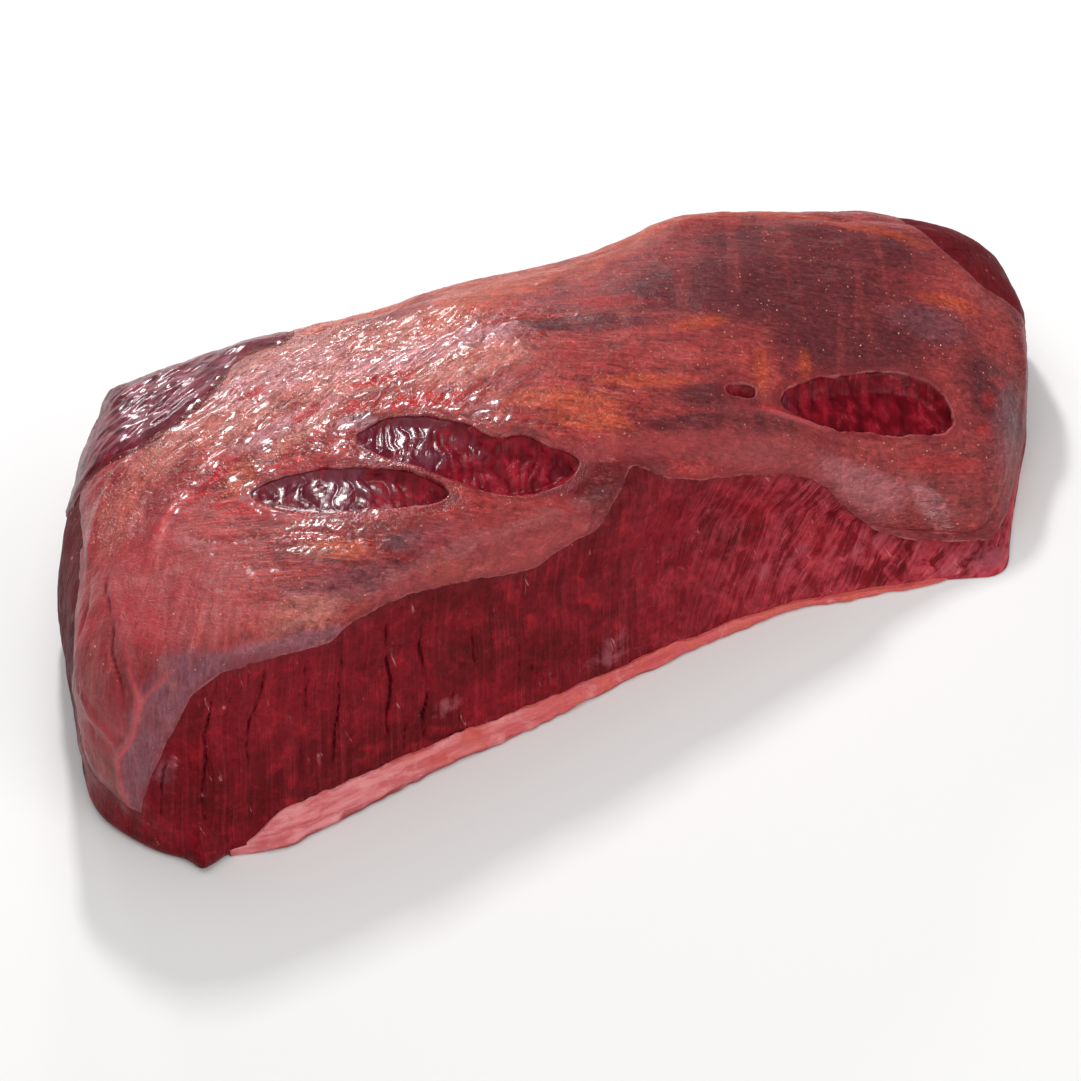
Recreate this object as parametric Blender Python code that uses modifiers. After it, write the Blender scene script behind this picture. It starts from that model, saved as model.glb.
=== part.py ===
"""A raw beef brisket: a lean muscle on its fat cap, with the thin membrane of the rib side over it.

The model stands on z = 0 with its length along X, and its long cut face looks towards -Y.
Sizes are in metres.
"""

import math

import bmesh
import bpy
import numpy as np
from mathutils import Vector, noise

MM = 0.001

# The lean's outline, as ribs from the left end to the right end. Each rib runs straight from a point of
# the front foot line to one of the back foot line, and states the meat's height at the front shoulder,
# at the crown and at the back shoulder.
RIBS_MM = (
    {"front": (-229, -112), "back": (-172, 121), "heights": (72, 70, 47)},
    {"front": (-179, -117), "back": (-121, 112), "heights": (77, 84, 55)},
    {"front": (-133, -113), "back": (-75, 107), "heights": (78, 90, 60)},
    {"front": (-81, -106), "back": (-29, 105), "heights": (76, 92, 61)},
    {"front": (-29, -100), "back": (19, 102), "heights": (72, 90, 61)},
    {"front": (19, -94), "back": (63, 99), "heights": (66, 86, 66)},
    {"front": (63, -92), "back": (107, 94), "heights": (56, 80, 65)},
    {"front": (106, -102), "back": (167, 85), "heights": (26, 68, 60)},
    {"front": (151, -115), "back": (240, 63), "heights": (13, 50, 47)},
)
HALF_LENGTH = 220 * MM
HALF_WIDTH = 110 * MM
# Radius of each plan corner, keyed by its side along the length and across.
CORNER_RADII = {(-1, -1): 54 * MM, (1, -1): 14 * MM, (1, 1): 56 * MM, (-1, 1): 14 * MM}
SHOULDER_WIDTH = 28 * MM
SHOULDER_SHARE = 0.36  # of the height, which the rounded shoulder takes
FOOT_RADIUS = 5 * MM
FRONT_LEAN, BACK_LEAN, END_LEAN = 24 * MM, 12 * MM, 8 * MM
# The ends bulge outward, the left one most near its front and the right one near its back.
LEFT_BULGE, RIGHT_BULGE = 14 * MM, 9 * MM
LEFT_BULGE_TILT, RIGHT_BULGE_TILT = -0.7, 0.8
CELLS_ALONG, CELLS_ACROSS, CELLS_UP = 42, 21, 7
EDGE_CROWDING = 0.5  # 0 spaces the cells evenly, 1 crowds them most at the edges

SWELL_LENGTH, SWELL_HEIGHT = 62 * MM, 2.2 * MM
LUMP_LENGTH, LUMP_HEIGHT = 24 * MM, 0.9 * MM
CALM_HEIGHT = 16 * MM  # below it the walls are smooth, where the fat cap is

GAP = 0.3 * MM
MEMBRANE_THICKNESS = 1.5 * MM

# The fat cap under the lean: its thickness along the length, and where it starts and ends.
FAT_X = (-230 * MM, 60 * MM, 200 * MM)
FAT_THICKNESS = (17.2 * MM, 3.2 * MM, 1.2 * MM)
FAT_START, FAT_END = -0.79, 0.74  # stations, from -1 at the left end to 1 at the right end
FAT_LIP = 2.6 * MM
FAT_EDGE_WAVE = 1.2 * MM

# Windows in the membrane, where the muscle shows: centre, half length, half width, the turn of
# the long axis in degrees, and how deep the muscle is below.
WINDOWS_MM = {
    "left_window": ((-105, -38), 33, 13, -24, 3.5),
    "long_window": ((-57, -38), 46, 14, -35, 4.5),
    "right_window": ((109, -48), 36, 10.5, -9, 6.0),
    "small_window": ((57, -39), 6.5, 4, -14, 2.5),
}
WINDOW_SQUARENESS = 2.3  # the power of a superellipse, where 2 is a plain ellipse

# The membrane's lower edge on the long cut face, seen from the front: (x, z).
FRONT_EDGE_MM = (
    (-213, 18), (-207, 32), (-198, 50), (-188, 68), (-175, 74), (-157, 73), (-136, 70),
    (-121, 74), (-101, 74), (-79, 69), (-53, 62), (-37, 65), (-21, 67), (-11, 75), (-1, 80),
    (11, 73), (35, 63), (65, 53), (79, 44), (91, 28), (105, 15), (129, 9), (153, 7),
)
# Its lower edge on the left end, seen from the left: (y, z).
LEFT_EDGE_MM = ((-99, 16), (-81, 21), (-69, 26), (-58, 42), (-49, 58), (-23, 63), (7, 64), (47, 60), (117, 56))
# Its lower edge on the back, seen from behind: (x, z), and on the right end: (y, z).
BACK_EDGE_MM = ((-97, 44), (-67, 36), (-27, 30), (13, 33), (53, 27), (93, 34), (133, 38), (173, 40))
RIGHT_EDGE_MM = ((-113, 7), (-83, 9), (-53, 12), (-23, 18), (7, 26), (37, 34))
# Bare muscle at the two back corners, seen from above: (x, y).
LEFT_CORNER_MM = ((-81, 137), (-89, 73), (-111, 69), (-135, 44), (-161, 32), (-183, 35), (-247, 41), (-247, 137))
RIGHT_CORNER_MM = ((145, 107), (159, 61), (171, 37), (177, 17), (185, 1), (199, -7), (209, -17), (253, -23), (253, 107))

# Cracks along the grain of the cut face: x, lowest and highest z, and the lean of the crack in x.
CRACKS_MM = (
    (-167, 24, 66, 5), (-153, 20, 62, 4), (-140, 30, 62, 3), (-125, 22, 66, 3), (-108, 16, 64, 1),
    (-95, 18, 60, -2), (-79, 20, 56, -2), (-65, 28, 56, -3), (-51, 22, 50, -4), (-29, 16, 40, 6),
)
CRACK_WIDTH, CRACK_DEPTH = 1.6 * MM, 3.5 * MM

# The rope of gathered membrane down the left front corner.
FOLD_PATH_MM = (
    (-215, -89, 14), (-216, -84, 28), (-215, -81, 38), (-211, -82, 46), (-207, -83, 56), (-204, -81, 67),
    (-204, -75, 73), (-203, -66, 76),
)
FOLD_RADIUS = 2.4 * MM
NUB_PLACE, NUB_RADIUS = Vector((-196 * MM, -108 * MM, 6 * MM)), 6 * MM

COLOURS = {
    "lean_muscle": ((0.19, 0.012, 0.018, 1), 0.42),
    "fat_cap": ((0.72, 0.33, 0.27, 1), 0.5),
    "membrane": ((0.43, 0.10, 0.075, 1), 0.32),
}


def clear_scene():
    for old in list(bpy.data.objects):
        bpy.data.objects.remove(old)


def new_collection(name):
    collection = bpy.data.collections.new(name)
    bpy.context.scene.collection.children.link(collection)
    return collection


def material(name):
    colour, roughness = COLOURS[name]
    made = bpy.data.materials.new(name)
    made.use_nodes = True
    shader = made.node_tree.nodes["Principled BSDF"]
    shader.inputs["Base Color"].default_value = colour
    shader.inputs["Roughness"].default_value = roughness
    shader.inputs["Metallic"].default_value = 0.0
    return made


def add_object(name, bm, collection):
    """Turns a bmesh into a named object."""
    mesh = bpy.data.meshes.new(name)
    bm.to_mesh(mesh)
    bm.free()
    made = bpy.data.objects.new(name, mesh)
    collection.objects.link(made)
    return made


def along_stations(values, station):
    """Reads a smooth curve through evenly spaced values at a station from -1 to 1."""
    values = [np.array(v, float) for v in values]
    place = (min(max(station, -1), 1) + 1) / 2 * (len(values) - 1)
    i = min(int(place), len(values) - 2)
    u = place - i
    before = values[i - 1] if i > 0 else 2 * values[0] - values[1]
    after = values[i + 2] if i + 2 < len(values) else 2 * values[-1] - values[-2]
    p0, p1, p2, p3 = before, values[i], values[i + 1], after
    return 0.5 * (
        2 * p1
        + (p2 - p0) * u
        + (2 * p0 - 5 * p1 + 4 * p2 - p3) * u**2
        + (3 * p1 - p0 - 3 * p2 + p3) * u**3
    )


def rib_at(station):
    """The front foot point, the back foot point and the three heights at a station, in metres."""
    return [along_stations([rib[key] for rib in RIBS_MM], station) * MM for key in ("front", "back", "heights")]


def round_corner(a, b):
    """Moves a point of the square plan onto the plan with rounded corners."""
    x, y = a * HALF_LENGTH, b * HALF_WIDTH
    side = (1 if x > 0 else -1, 1 if y > 0 else -1)
    radius = CORNER_RADII[side]
    dx = abs(x) - (HALF_LENGTH - radius)
    dy = abs(y) - (HALF_WIDTH - radius)
    if dx <= 0 or dy <= 0:
        return a, b
    shrink = max(dx, dy) / math.hypot(dx, dy)
    x = side[0] * (HALF_LENGTH - radius + dx * shrink)
    y = side[1] * (HALF_WIDTH - radius + dy * shrink)
    return x / HALF_LENGTH, y / HALF_WIDTH


def end_bulge(a, b):
    """How far an end's wall bows outward in x."""
    bow = RIGHT_BULGE * (1 + RIGHT_BULGE_TILT * b) if a > 0 else -LEFT_BULGE * (1 + LEFT_BULGE_TILT * b)
    return bow * abs(a) ** 5 * (1 - b * b)


def foot_tuck(z):
    """How far the wall draws in towards the floor at height z."""
    share = 1 - min(max(z / FOOT_RADIUS, 0), 1)
    return FOOT_RADIUS * (1 - math.sqrt(1 - share**2))


def body_point(a, b, c):
    """Takes a point on the faces of the cube from -1 to 1 to its place on the meat."""
    edge = min((1 - abs(a)) * HALF_LENGTH, (1 - abs(b)) * HALF_WIDTH)
    a, b = round_corner(a, b)
    across = (b + 1) / 2
    front, back, heights = rib_at(a)
    x, y = front * (1 - across) + back * across
    x += end_bulge(a, b)
    at_front, at_crown, at_back = heights
    height = (
        at_front * (1 - across) * (1 - 2 * across)
        + at_crown * 4 * across * (1 - across)
        + at_back * across * (2 * across - 1)
    )
    wall_share = 1 - SHOULDER_SHARE
    if c > 0.999:
        inside = min(edge / SHOULDER_WIDTH, 1)
        up, z = 1, height * (wall_share + SHOULDER_SHARE * math.sqrt(1 - (1 - inside) ** 2))
    else:
        up = (c + 1) / 2
        z = height * wall_share * up
    y_lean = FRONT_LEAN * up + foot_tuck(z) if b < 0 else -BACK_LEAN * up - foot_tuck(z)
    x_lean = END_LEAN * up + foot_tuck(z)
    y += y_lean * abs(b) ** 3
    x += (x_lean if a < 0 else -x_lean) * abs(a) ** 9
    return Vector((x, y, z))


def spaced(count):
    """Even steps from -1 to 1, crowded towards both ends."""
    steps = [2 * i / count - 1 for i in range(1, count)]
    return [(1 - EDGE_CROWDING) * s + EDGE_CROWDING * math.sin(s * math.pi / 2) for s in steps]


def cut_cube(cuts_along, cuts_across, cuts_up):
    """A cube from -1 to 1 whose faces are cut into cells at the given places."""
    bm = bmesh.new()
    bmesh.ops.create_cube(bm, size=2)
    for normal, cuts in (((1, 0, 0), cuts_along), ((0, 1, 0), cuts_across), ((0, 0, 1), cuts_up)):
        for cut in cuts:
            geometry = bm.verts[:] + bm.edges[:] + bm.faces[:]
            bmesh.ops.bisect_plane(bm, geom=geometry, plane_co=Vector(normal) * cut, plane_no=normal)
    return bm


def unevenness(place):
    """The meat's swells and lumps, as a height along the surface's normal."""
    swell = noise.noise(place / SWELL_LENGTH) * SWELL_HEIGHT
    lump = noise.noise(place / LUMP_LENGTH + Vector((7, 3, 5))) * LUMP_HEIGHT
    return (swell + lump) * min(max(place.z / CALM_HEIGHT - 1, 0), 1)


def body_bmesh():
    """The whole form of the meat, down to the floor, as triangles."""
    even_up = [2 * i / CELLS_UP - 1 for i in range(1, CELLS_UP)]
    bm = cut_cube(spaced(CELLS_ALONG), spaced(CELLS_ACROSS), even_up)
    for vert in bm.verts:
        vert.co = body_point(*vert.co)
    bmesh.ops.recalc_face_normals(bm, faces=bm.faces)
    bm.normal_update()
    moved = [vert.co + vert.normal * unevenness(vert.co) for vert in bm.verts]
    for vert, place in zip(bm.verts, moved):
        vert.co = place
    bmesh.ops.triangulate(bm, faces=bm.faces, quad_method="SHORT_EDGE")
    bm.normal_update()
    return bm


def dissolve_floor(bm):
    """Makes the flat underside one face, so that it takes few triangles."""
    floor = [face for face in bm.faces if all(vert.co.z < 1e-6 for vert in face.verts)]
    bmesh.ops.dissolve_faces(bm, faces=floor, use_verts=True)


def fat_thickness(x):
    return float(np.interp(x, FAT_X, FAT_THICKNESS))


def outline_smooth(points_mm, steps):
    """A smooth run through points, with a number of steps between each two of them."""
    count = (len(points_mm) - 1) * steps
    return [along_stations(points_mm, 2 * i / count - 1) * MM for i in range(count + 1)]


def curve_bmesh(curve, collection):
    """A curve's solid form, with its caps welded on."""
    drawn = bpy.data.objects.new(curve.name, curve)
    collection.objects.link(drawn)
    bpy.context.view_layer.update()
    evaluated = drawn.evaluated_get(bpy.context.evaluated_depsgraph_get())
    mesh = bpy.data.meshes.new_from_object(evaluated)
    bpy.data.objects.remove(drawn)
    bm = bmesh.new()
    bm.from_mesh(mesh)
    bpy.data.meshes.remove(mesh)
    bmesh.ops.remove_doubles(bm, verts=bm.verts, dist=1e-6)
    return bm


def prism(name, outline, low, high, turn, collection):
    """A flat outline made solid from low to high, then turned to look along its own axis."""
    curve = bpy.data.curves.new(name, "CURVE")
    curve.dimensions = "2D"
    curve.fill_mode = "BOTH"
    curve.extrude = (high - low) / 2
    spline = curve.splines.new("POLY")
    spline.points.add(len(outline) - 1)
    for point, (u, v) in zip(spline.points, outline):
        point.co = (u, v, 0, 1)
    spline.use_cyclic_u = True
    bm = curve_bmesh(curve, collection)
    for vert in bm.verts:
        u, v, w = vert.co
        w += (low + high) / 2
        vert.co = {"up": (u, v, w), "front": (u, w, v), "side": (w, u, v)}[turn]
    face_outward(bm)
    return as_cutter(add_object(name, bm, collection))


def face_outward(bm):
    bmesh.ops.recalc_face_normals(bm, faces=bm.faces)
    if bm.calc_volume(signed=True) < 0:
        bmesh.ops.reverse_faces(bm, faces=bm.faces)


def as_cutter(cutter):
    cutter.hide_render = True
    cutter.display_type = "WIRE"
    return cutter


def add_boolean(target, operation, collection):
    """One Boolean with every object of a collection."""
    modifier = target.modifiers.new(operation.title(), "BOOLEAN")
    modifier.operation = operation
    modifier.operand_type = "COLLECTION"
    modifier.collection = collection
    modifier.solver = "EXACT"


def window_outline(half_length, half_width, turn, count=36):
    """A superellipse around the origin."""
    power = 2 / WINDOW_SQUARENESS
    points = []
    for i in range(count):
        angle = 2 * math.pi * i / count
        u = half_length * math.copysign(abs(math.cos(angle)) ** power, math.cos(angle))
        v = half_width * math.copysign(abs(math.sin(angle)) ** power, math.sin(angle))
        points.append((u * math.cos(turn) - v * math.sin(turn), u * math.sin(turn) + v * math.cos(turn)))
    return points


def window_openings(collection):
    """Upright prisms that open the membrane over each window."""
    for name, ((x, y), half_length, half_width, turn, _) in WINDOWS_MM.items():
        ring = window_outline(half_length * MM, half_width * MM, math.radians(turn))
        outline = [(x * MM + u, y * MM + v) for u, v in ring]
        prism(name + "_opening", outline, 30 * MM, 120 * MM, "up", collection)


def surface_frame(body, x, y):
    """The height and the normal of the meat's top at a place."""
    _, place, normal, _ = body.ray_cast(Vector((x, y, 0.3)), Vector((0, 0, -1)))
    return place, normal


def window_pits(body, collection):
    """Shallow bowls that lower the muscle inside each window."""
    for name, ((x, y), half_length, half_width, turn, depth) in WINDOWS_MM.items():
        place, normal = surface_frame(body, x * MM, y * MM)
        along = Vector((math.cos(math.radians(turn)), math.sin(math.radians(turn)), 0))
        across = normal.cross(along).normalized()
        along = across.cross(normal)
        bm = bmesh.new()
        bmesh.ops.create_uvsphere(bm, u_segments=28, v_segments=14, radius=1)
        bury = 0.97
        for vert in bm.verts:
            u, v, w = vert.co
            vert.co = (
                place
                + along * (u * half_length * bury * MM)
                + across * (v * half_width * bury * MM)
                + normal * (w * depth * MM)
            )
        as_cutter(add_object(name + "_pit", bm, collection))


def cracks(body, collection):
    """Thin wedges that open the cut face along its grain."""
    for number, (x, low, high, lean) in enumerate(CRACKS_MM):
        bm = bmesh.new()
        bmesh.ops.create_cube(bm, size=2)
        for height in (-0.6, 0, 0.6):
            geometry = bm.verts[:] + bm.edges[:] + bm.faces[:]
            bmesh.ops.bisect_plane(bm, geom=geometry, plane_co=(0, 0, height), plane_no=(0, 0, 1))
        for vert in bm.verts:
            u, v, w = vert.co
            z = ((1 - w) * low + (1 + w) * high) / 2 * MM
            centre = (x + lean * (w - w**3 / 3) + 0.8 * math.sin(3 * w + number)) * MM
            _, place, _, _ = body.ray_cast(Vector((centre, -0.3, z)), Vector((0, 1, 0)))
            taper = 1 - 0.75 * w * w
            half_width = CRACK_WIDTH / 2 if v < 0 else CRACK_WIDTH * 0.1
            depth = -2 * MM if v < 0 else CRACK_DEPTH * taper
            vert.co = (centre + u * half_width * taper, place.y + depth, z)
        face_outward(bm)
        as_cutter(add_object(f"crack_{number}", bm, collection))


def rib_plan(station, across):
    """A place on the rib's straight line, which may run past its ends."""
    front, back, _ = rib_at(station)
    return front * (1 - across) + back * across


def fat_pocket(collection):
    """The room under the lean that the fat cap fills."""
    bm = bmesh.new()
    bmesh.ops.create_cube(bm, size=2)
    bmesh.ops.bisect_plane(
        bm, geom=bm.verts[:] + bm.edges[:] + bm.faces[:], plane_co=(0, 0, 0), plane_no=(1, 0, 0)
    )
    margin = 0.006
    for vert in bm.verts:
        a, b, c = vert.co
        across = 0.5 + b
        if abs(a) < 0.5:
            x, y = FAT_X[1], rib_plan(0, across)[1]
        else:
            x, y = rib_plan(FAT_START - margin if a < 0 else FAT_END + margin, across)
        vert.co = (x, y, fat_thickness(x) + GAP if c > 0 else -10 * MM)
    face_outward(bm)
    return as_cutter(add_object("fat_pocket", bm, collection))


def make_lean(parts, cutters):
    bm = body_bmesh()
    dissolve_floor(bm)
    lean = add_object("lean_muscle", bm, parts)
    bpy.context.view_layer.update()
    fat_pocket(cutters)
    window_pits(lean, cutters)
    cracks(lean, cutters)
    add_boolean(lean, "DIFFERENCE", cutters)
    additions = new_collection("lean_additions")
    nub = bmesh.new()
    bmesh.ops.create_icosphere(nub, subdivisions=2, radius=NUB_RADIUS)
    for vert in nub.verts:
        vert.co.z *= 0.8
        vert.co += NUB_PLACE
    as_cutter(add_object("nub", nub, additions))
    add_boolean(lean, "UNION", additions)
    return lean


def make_fat_cap(parts):
    """The slab of fat, with a lip that stands proud of the lean along the cut face."""
    bm = cut_cube(spaced(36), (-0.9, 0, 0.9), (-0.5, 0.3, 0.8))
    for vert in bm.verts:
        a, b, c = vert.co
        x, y = rib_plan(FAT_START + (FAT_END - FAT_START) * (a + 1) / 2, (b + 1) / 2)
        up = (c + 1) / 2
        z = fat_thickness(x) * up
        rim = abs(b) ** 24
        lip = FAT_LIP * math.sqrt(max(1 - (1.15 * up - 0.45) ** 2, 0)) + FAT_EDGE_WAVE * noise.noise(
            Vector((x / 0.011, 4 if b < 0 else 9, up))
        )
        lean = FRONT_LEAN * z / (0.64 * 75 * MM) + foot_tuck(z) * 0.5
        y += (lean - lip) * rim if b < 0 else -(lean * 0.5 - lip * 0.4) * rim
        vert.co = (x, y, z)
    bmesh.ops.recalc_face_normals(bm, faces=bm.faces)
    bmesh.ops.triangulate(bm, faces=bm.faces)
    dissolve_floor(bm)
    return add_object("fat_cap", bm, parts)


def below(points_mm, first, last):
    """The closed outline of all that lies below a smooth edge."""
    edge = outline_smooth(points_mm, 3)
    return [(first, -20 * MM), (first, edge[0][1]), *map(tuple, edge), (last, edge[-1][1]), (last, -20 * MM)]


def fold_rope(lean, collection):
    """The gathered rope of membrane, as a round tube on the lean that thins towards both ends."""
    curve = bpy.data.curves.new("fold", "CURVE")
    curve.dimensions = "3D"
    curve.bevel_depth = FOLD_RADIUS
    curve.bevel_resolution = 2
    curve.use_fill_caps = True
    spline = curve.splines.new("POLY")
    path = outline_smooth(FOLD_PATH_MM, 2)
    spline.points.add(len(path) - 1)
    for i, (point, guide) in enumerate(zip(spline.points, path)):
        point.radius = 0.6 + 0.4 * math.sin(math.pi * i / (len(path) - 1))
        _, place, normal, _ = lean.closest_point_on_mesh(Vector(guide))
        point.co = (*(place + normal * (GAP + 0.3 * MM + FOLD_RADIUS * point.radius)), 1)
    bm = curve_bmesh(curve, collection)
    face_outward(bm)
    return as_cutter(add_object("fold", bm, collection))


def make_membrane(lean, parts, cutters):
    """A shell just off the meat's top and sides, trimmed to the membrane's edge and windows."""
    bm = body_bmesh()
    floor = [face for face in bm.faces if all(vert.co.z < 1e-6 for vert in face.verts)]
    bmesh.ops.delete(bm, geom=floor, context="FACES")
    bm.normal_update()
    moved = [vert.co + vert.normal * GAP for vert in bm.verts]
    for vert, place in zip(bm.verts, moved):
        vert.co = place
    membrane = add_object("membrane", bm, parts)
    solidify = membrane.modifiers.new("Solidify", "SOLIDIFY")
    solidify.thickness = MEMBRANE_THICKNESS
    solidify.offset = 1
    additions = new_collection("membrane_additions")
    fold_rope(lean, additions)
    add_boolean(membrane, "UNION", additions)
    far = 300 * MM
    prism("front_trim", below(FRONT_EDGE_MM, -far, 0.19), -far, -46 * MM, "front", cutters)
    prism("left_trim", below(LEFT_EDGE_MM, -far, far), -far, -150 * MM, "side", cutters)
    prism("back_trim", below(BACK_EDGE_MM, -0.2, far), 40 * MM, far, "front", cutters)
    prism("right_trim", below(RIGHT_EDGE_MM, -far, far), 140 * MM, far, "side", cutters)
    for name, corner in (("left_corner", LEFT_CORNER_MM), ("right_corner", RIGHT_CORNER_MM)):
        prism(name, [tuple(p) for p in outline_smooth(corner, 2)], -20 * MM, 200 * MM, "up", cutters)
    window_openings(cutters)
    add_boolean(membrane, "DIFFERENCE", cutters)
    return membrane


def main():
    clear_scene()
    parts = new_collection("raw_beef_brisket")
    lean = make_lean(parts, new_collection("lean_cutters"))
    fat = make_fat_cap(parts)
    membrane = make_membrane(lean, parts, new_collection("membrane_cutters"))
    for piece in (lean, fat, membrane):
        piece.data.materials.append(material(piece.name))
        piece.data.shade_smooth()


main()
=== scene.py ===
import math

import bpy
import numpy as np
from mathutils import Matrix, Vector, noise
from mathutils.bvhtree import BVHTree


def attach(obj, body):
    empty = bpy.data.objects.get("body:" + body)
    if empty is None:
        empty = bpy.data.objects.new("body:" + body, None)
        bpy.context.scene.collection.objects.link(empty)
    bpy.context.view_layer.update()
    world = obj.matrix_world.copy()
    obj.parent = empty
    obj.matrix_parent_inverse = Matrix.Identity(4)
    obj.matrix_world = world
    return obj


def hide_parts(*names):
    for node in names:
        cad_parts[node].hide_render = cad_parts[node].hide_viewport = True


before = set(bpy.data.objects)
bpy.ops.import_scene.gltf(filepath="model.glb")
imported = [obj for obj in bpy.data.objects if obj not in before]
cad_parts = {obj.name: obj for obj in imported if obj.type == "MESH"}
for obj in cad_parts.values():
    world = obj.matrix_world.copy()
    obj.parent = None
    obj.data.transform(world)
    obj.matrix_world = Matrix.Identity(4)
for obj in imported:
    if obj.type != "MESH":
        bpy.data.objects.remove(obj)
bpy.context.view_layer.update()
print("frame loaded")

mm = 0.001


def rgb(red, green, blue):
    # a screen colour of 0 to 255 as the linear colour that nodes want
    parts = np.array([red, green, blue]) / 255
    linear = np.where(parts <= 0.04045, parts / 12.92, ((parts + 0.055) / 1.055) ** 2.4)
    return (*linear.tolist(), 1.0)


view = {
    "azimuth": -25,
    "elevation": 45,
    "distance": 1.0,
    "lens": 85,
    "target": (-0.029, -0.039, 0.032),
}


def placeCamera():
    turn, tilt = math.radians(view["azimuth"]), math.radians(view["elevation"])
    back = Vector((math.sin(turn) * math.cos(tilt), -math.cos(turn) * math.cos(tilt), math.sin(tilt)))
    data = bpy.data.cameras.new("camera")
    data.lens = view["lens"]
    data.sensor_width = 36
    data.clip_end = 20
    camera = bpy.data.objects.new("camera", data)
    camera.location = Vector(view["target"]) + back * view["distance"]
    camera.rotation_euler = (-back).to_track_quat("-Z", "Y").to_euler()
    bpy.context.scene.collection.objects.link(camera)
    bpy.context.scene.camera = camera


meat = {
    # front foot point, back foot point, and the heights at the front, the crown and the back, in mm
    "ribs": [
        ((-229, -112), (-172, 121), (72, 70, 47)),
        ((-179, -117), (-121, 112), (77, 84, 55)),
        ((-133, -113), (-75, 107), (78, 90, 60)),
        ((-81, -106), (-29, 105), (76, 92, 61)),
        ((-29, -100), (19, 102), (72, 90, 61)),
        ((19, -94), (63, 99), (66, 86, 66)),
        ((63, -92), (107, 94), (56, 80, 65)),
        ((106, -102), (167, 85), (26, 68, 60)),
        ((151, -115), (240, 63), (13, 50, 47)),
    ],
    "halfLength": 220 * mm,
    "halfWidth": 110 * mm,
    "cornerRadii": {(-1, -1): 54 * mm, (1, -1): 14 * mm, (1, 1): 56 * mm, (-1, 1): 14 * mm},
    "shoulder": 28 * mm,
    "shoulderShare": 0.36,
    "foot": 5 * mm,
    "leans": {"front": 24 * mm, "back": 12 * mm, "end": 8 * mm},
    "leftBulge": (14 * mm, -0.7),
    "rightBulge": (9 * mm, 0.8),
    "swell": (62 * mm, 2.2 * mm),
    "lump": (24 * mm, 0.9 * mm),
    "calmBelow": 16 * mm,
}


def curveThrough(values, place):
    # a smooth curve through evenly spaced values, read at places from -1 to 1
    values = np.asarray(values, float)
    count = len(values)
    spot = (np.clip(place, -1, 1) + 1) / 2 * (count - 1)
    first = np.clip(spot.astype(int), 0, count - 2)
    u = spot - first
    padded = np.concatenate([2 * values[:1] - values[1:2], values, 2 * values[-1:] - values[-2:-1]])
    p0, p1, p2, p3 = (padded[first + i] for i in range(4))
    if values.ndim > 1:
        u = u[:, None]
    cubic = 3 * p1 - p0 - 3 * p2 + p3
    return 0.5 * (2 * p1 + (p2 - p0) * u + (2 * p0 - 5 * p1 + 4 * p2 - p3) * u**2 + cubic * u**3)


def roundCorners(a, b):
    x, y = a * meat["halfLength"], b * meat["halfWidth"]
    for (sideX, sideY), radius in meat["cornerRadii"].items():
        dx = x * sideX - (meat["halfLength"] - radius)
        dy = y * sideY - (meat["halfWidth"] - radius)
        corner = (dx > 0) & (dy > 0)
        shrink = np.maximum(dx, dy)[corner] / np.hypot(dx, dy)[corner]
        x[corner] = sideX * (meat["halfLength"] - radius + dx[corner] * shrink)
        y[corner] = sideY * (meat["halfWidth"] - radius + dy[corner] * shrink)
    return x / meat["halfLength"], y / meat["halfWidth"]


def meatPoints(abc):
    # from the faces of a cube of -1 to 1 to the meat's surface
    c = abc[:, 2]
    inset = np.minimum((1 - abs(abc[:, 0])) * meat["halfLength"], (1 - abs(abc[:, 1])) * meat["halfWidth"])
    a, b = roundCorners(abc[:, 0].copy(), abc[:, 1].copy())
    across = (b + 1) / 2
    front, back, heights = (curveThrough([rib[i] for rib in meat["ribs"]], a) * mm for i in range(3))
    x = front[:, 0] * (1 - across) + back[:, 0] * across
    y = front[:, 1] * (1 - across) + back[:, 1] * across
    left, right = meat["leftBulge"], meat["rightBulge"]
    bow = np.where(a > 0, right[0] * (1 + right[1] * b), -left[0] * (1 + left[1] * b))
    x = x + bow * abs(a) ** 5 * (1 - b * b)
    height = heights[:, 0] * (1 - across) * (1 - 2 * across)
    height += heights[:, 1] * 4 * across * (1 - across) + heights[:, 2] * across * (2 * across - 1)
    share = meat["shoulderShare"]
    inside = np.clip(inset / meat["shoulder"], 0, 1)
    onTop = c > 0.9999
    up = np.where(onTop, 1, (c + 1) / 2)
    z = height * np.where(onTop, 1 - share + share * np.sqrt(1 - (1 - inside) ** 2), (1 - share) * up)
    low = 1 - np.clip(z / meat["foot"], 0, 1)
    tuck = meat["foot"] * (1 - np.sqrt(1 - low**2))
    leans = meat["leans"]
    y = y + np.where(b < 0, leans["front"] * up + tuck, -leans["back"] * up - tuck) * abs(b) ** 3
    x = x + np.where(a < 0, 1, -1) * (leans["end"] * up + tuck) * abs(a) ** 9
    return np.column_stack([x, y, z])


def noiseAt(points, size, shift=0.0):
    # soft noise of about -1 to 1 for each point
    spots = points / size + shift
    return np.array([noise.noise(Vector(spot)) for spot in spots])


def withSwells(points, normals):
    swell = noiseAt(points, meat["swell"][0]) * meat["swell"][1]
    lump = noiseAt(points, meat["lump"][0], np.array([7, 3, 5])) * meat["lump"][1]
    calm = np.clip(points[:, 2] / meat["calmBelow"] - 1, 0, 1)
    return points + normals * ((swell + lump) * calm)[:, None]


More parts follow.
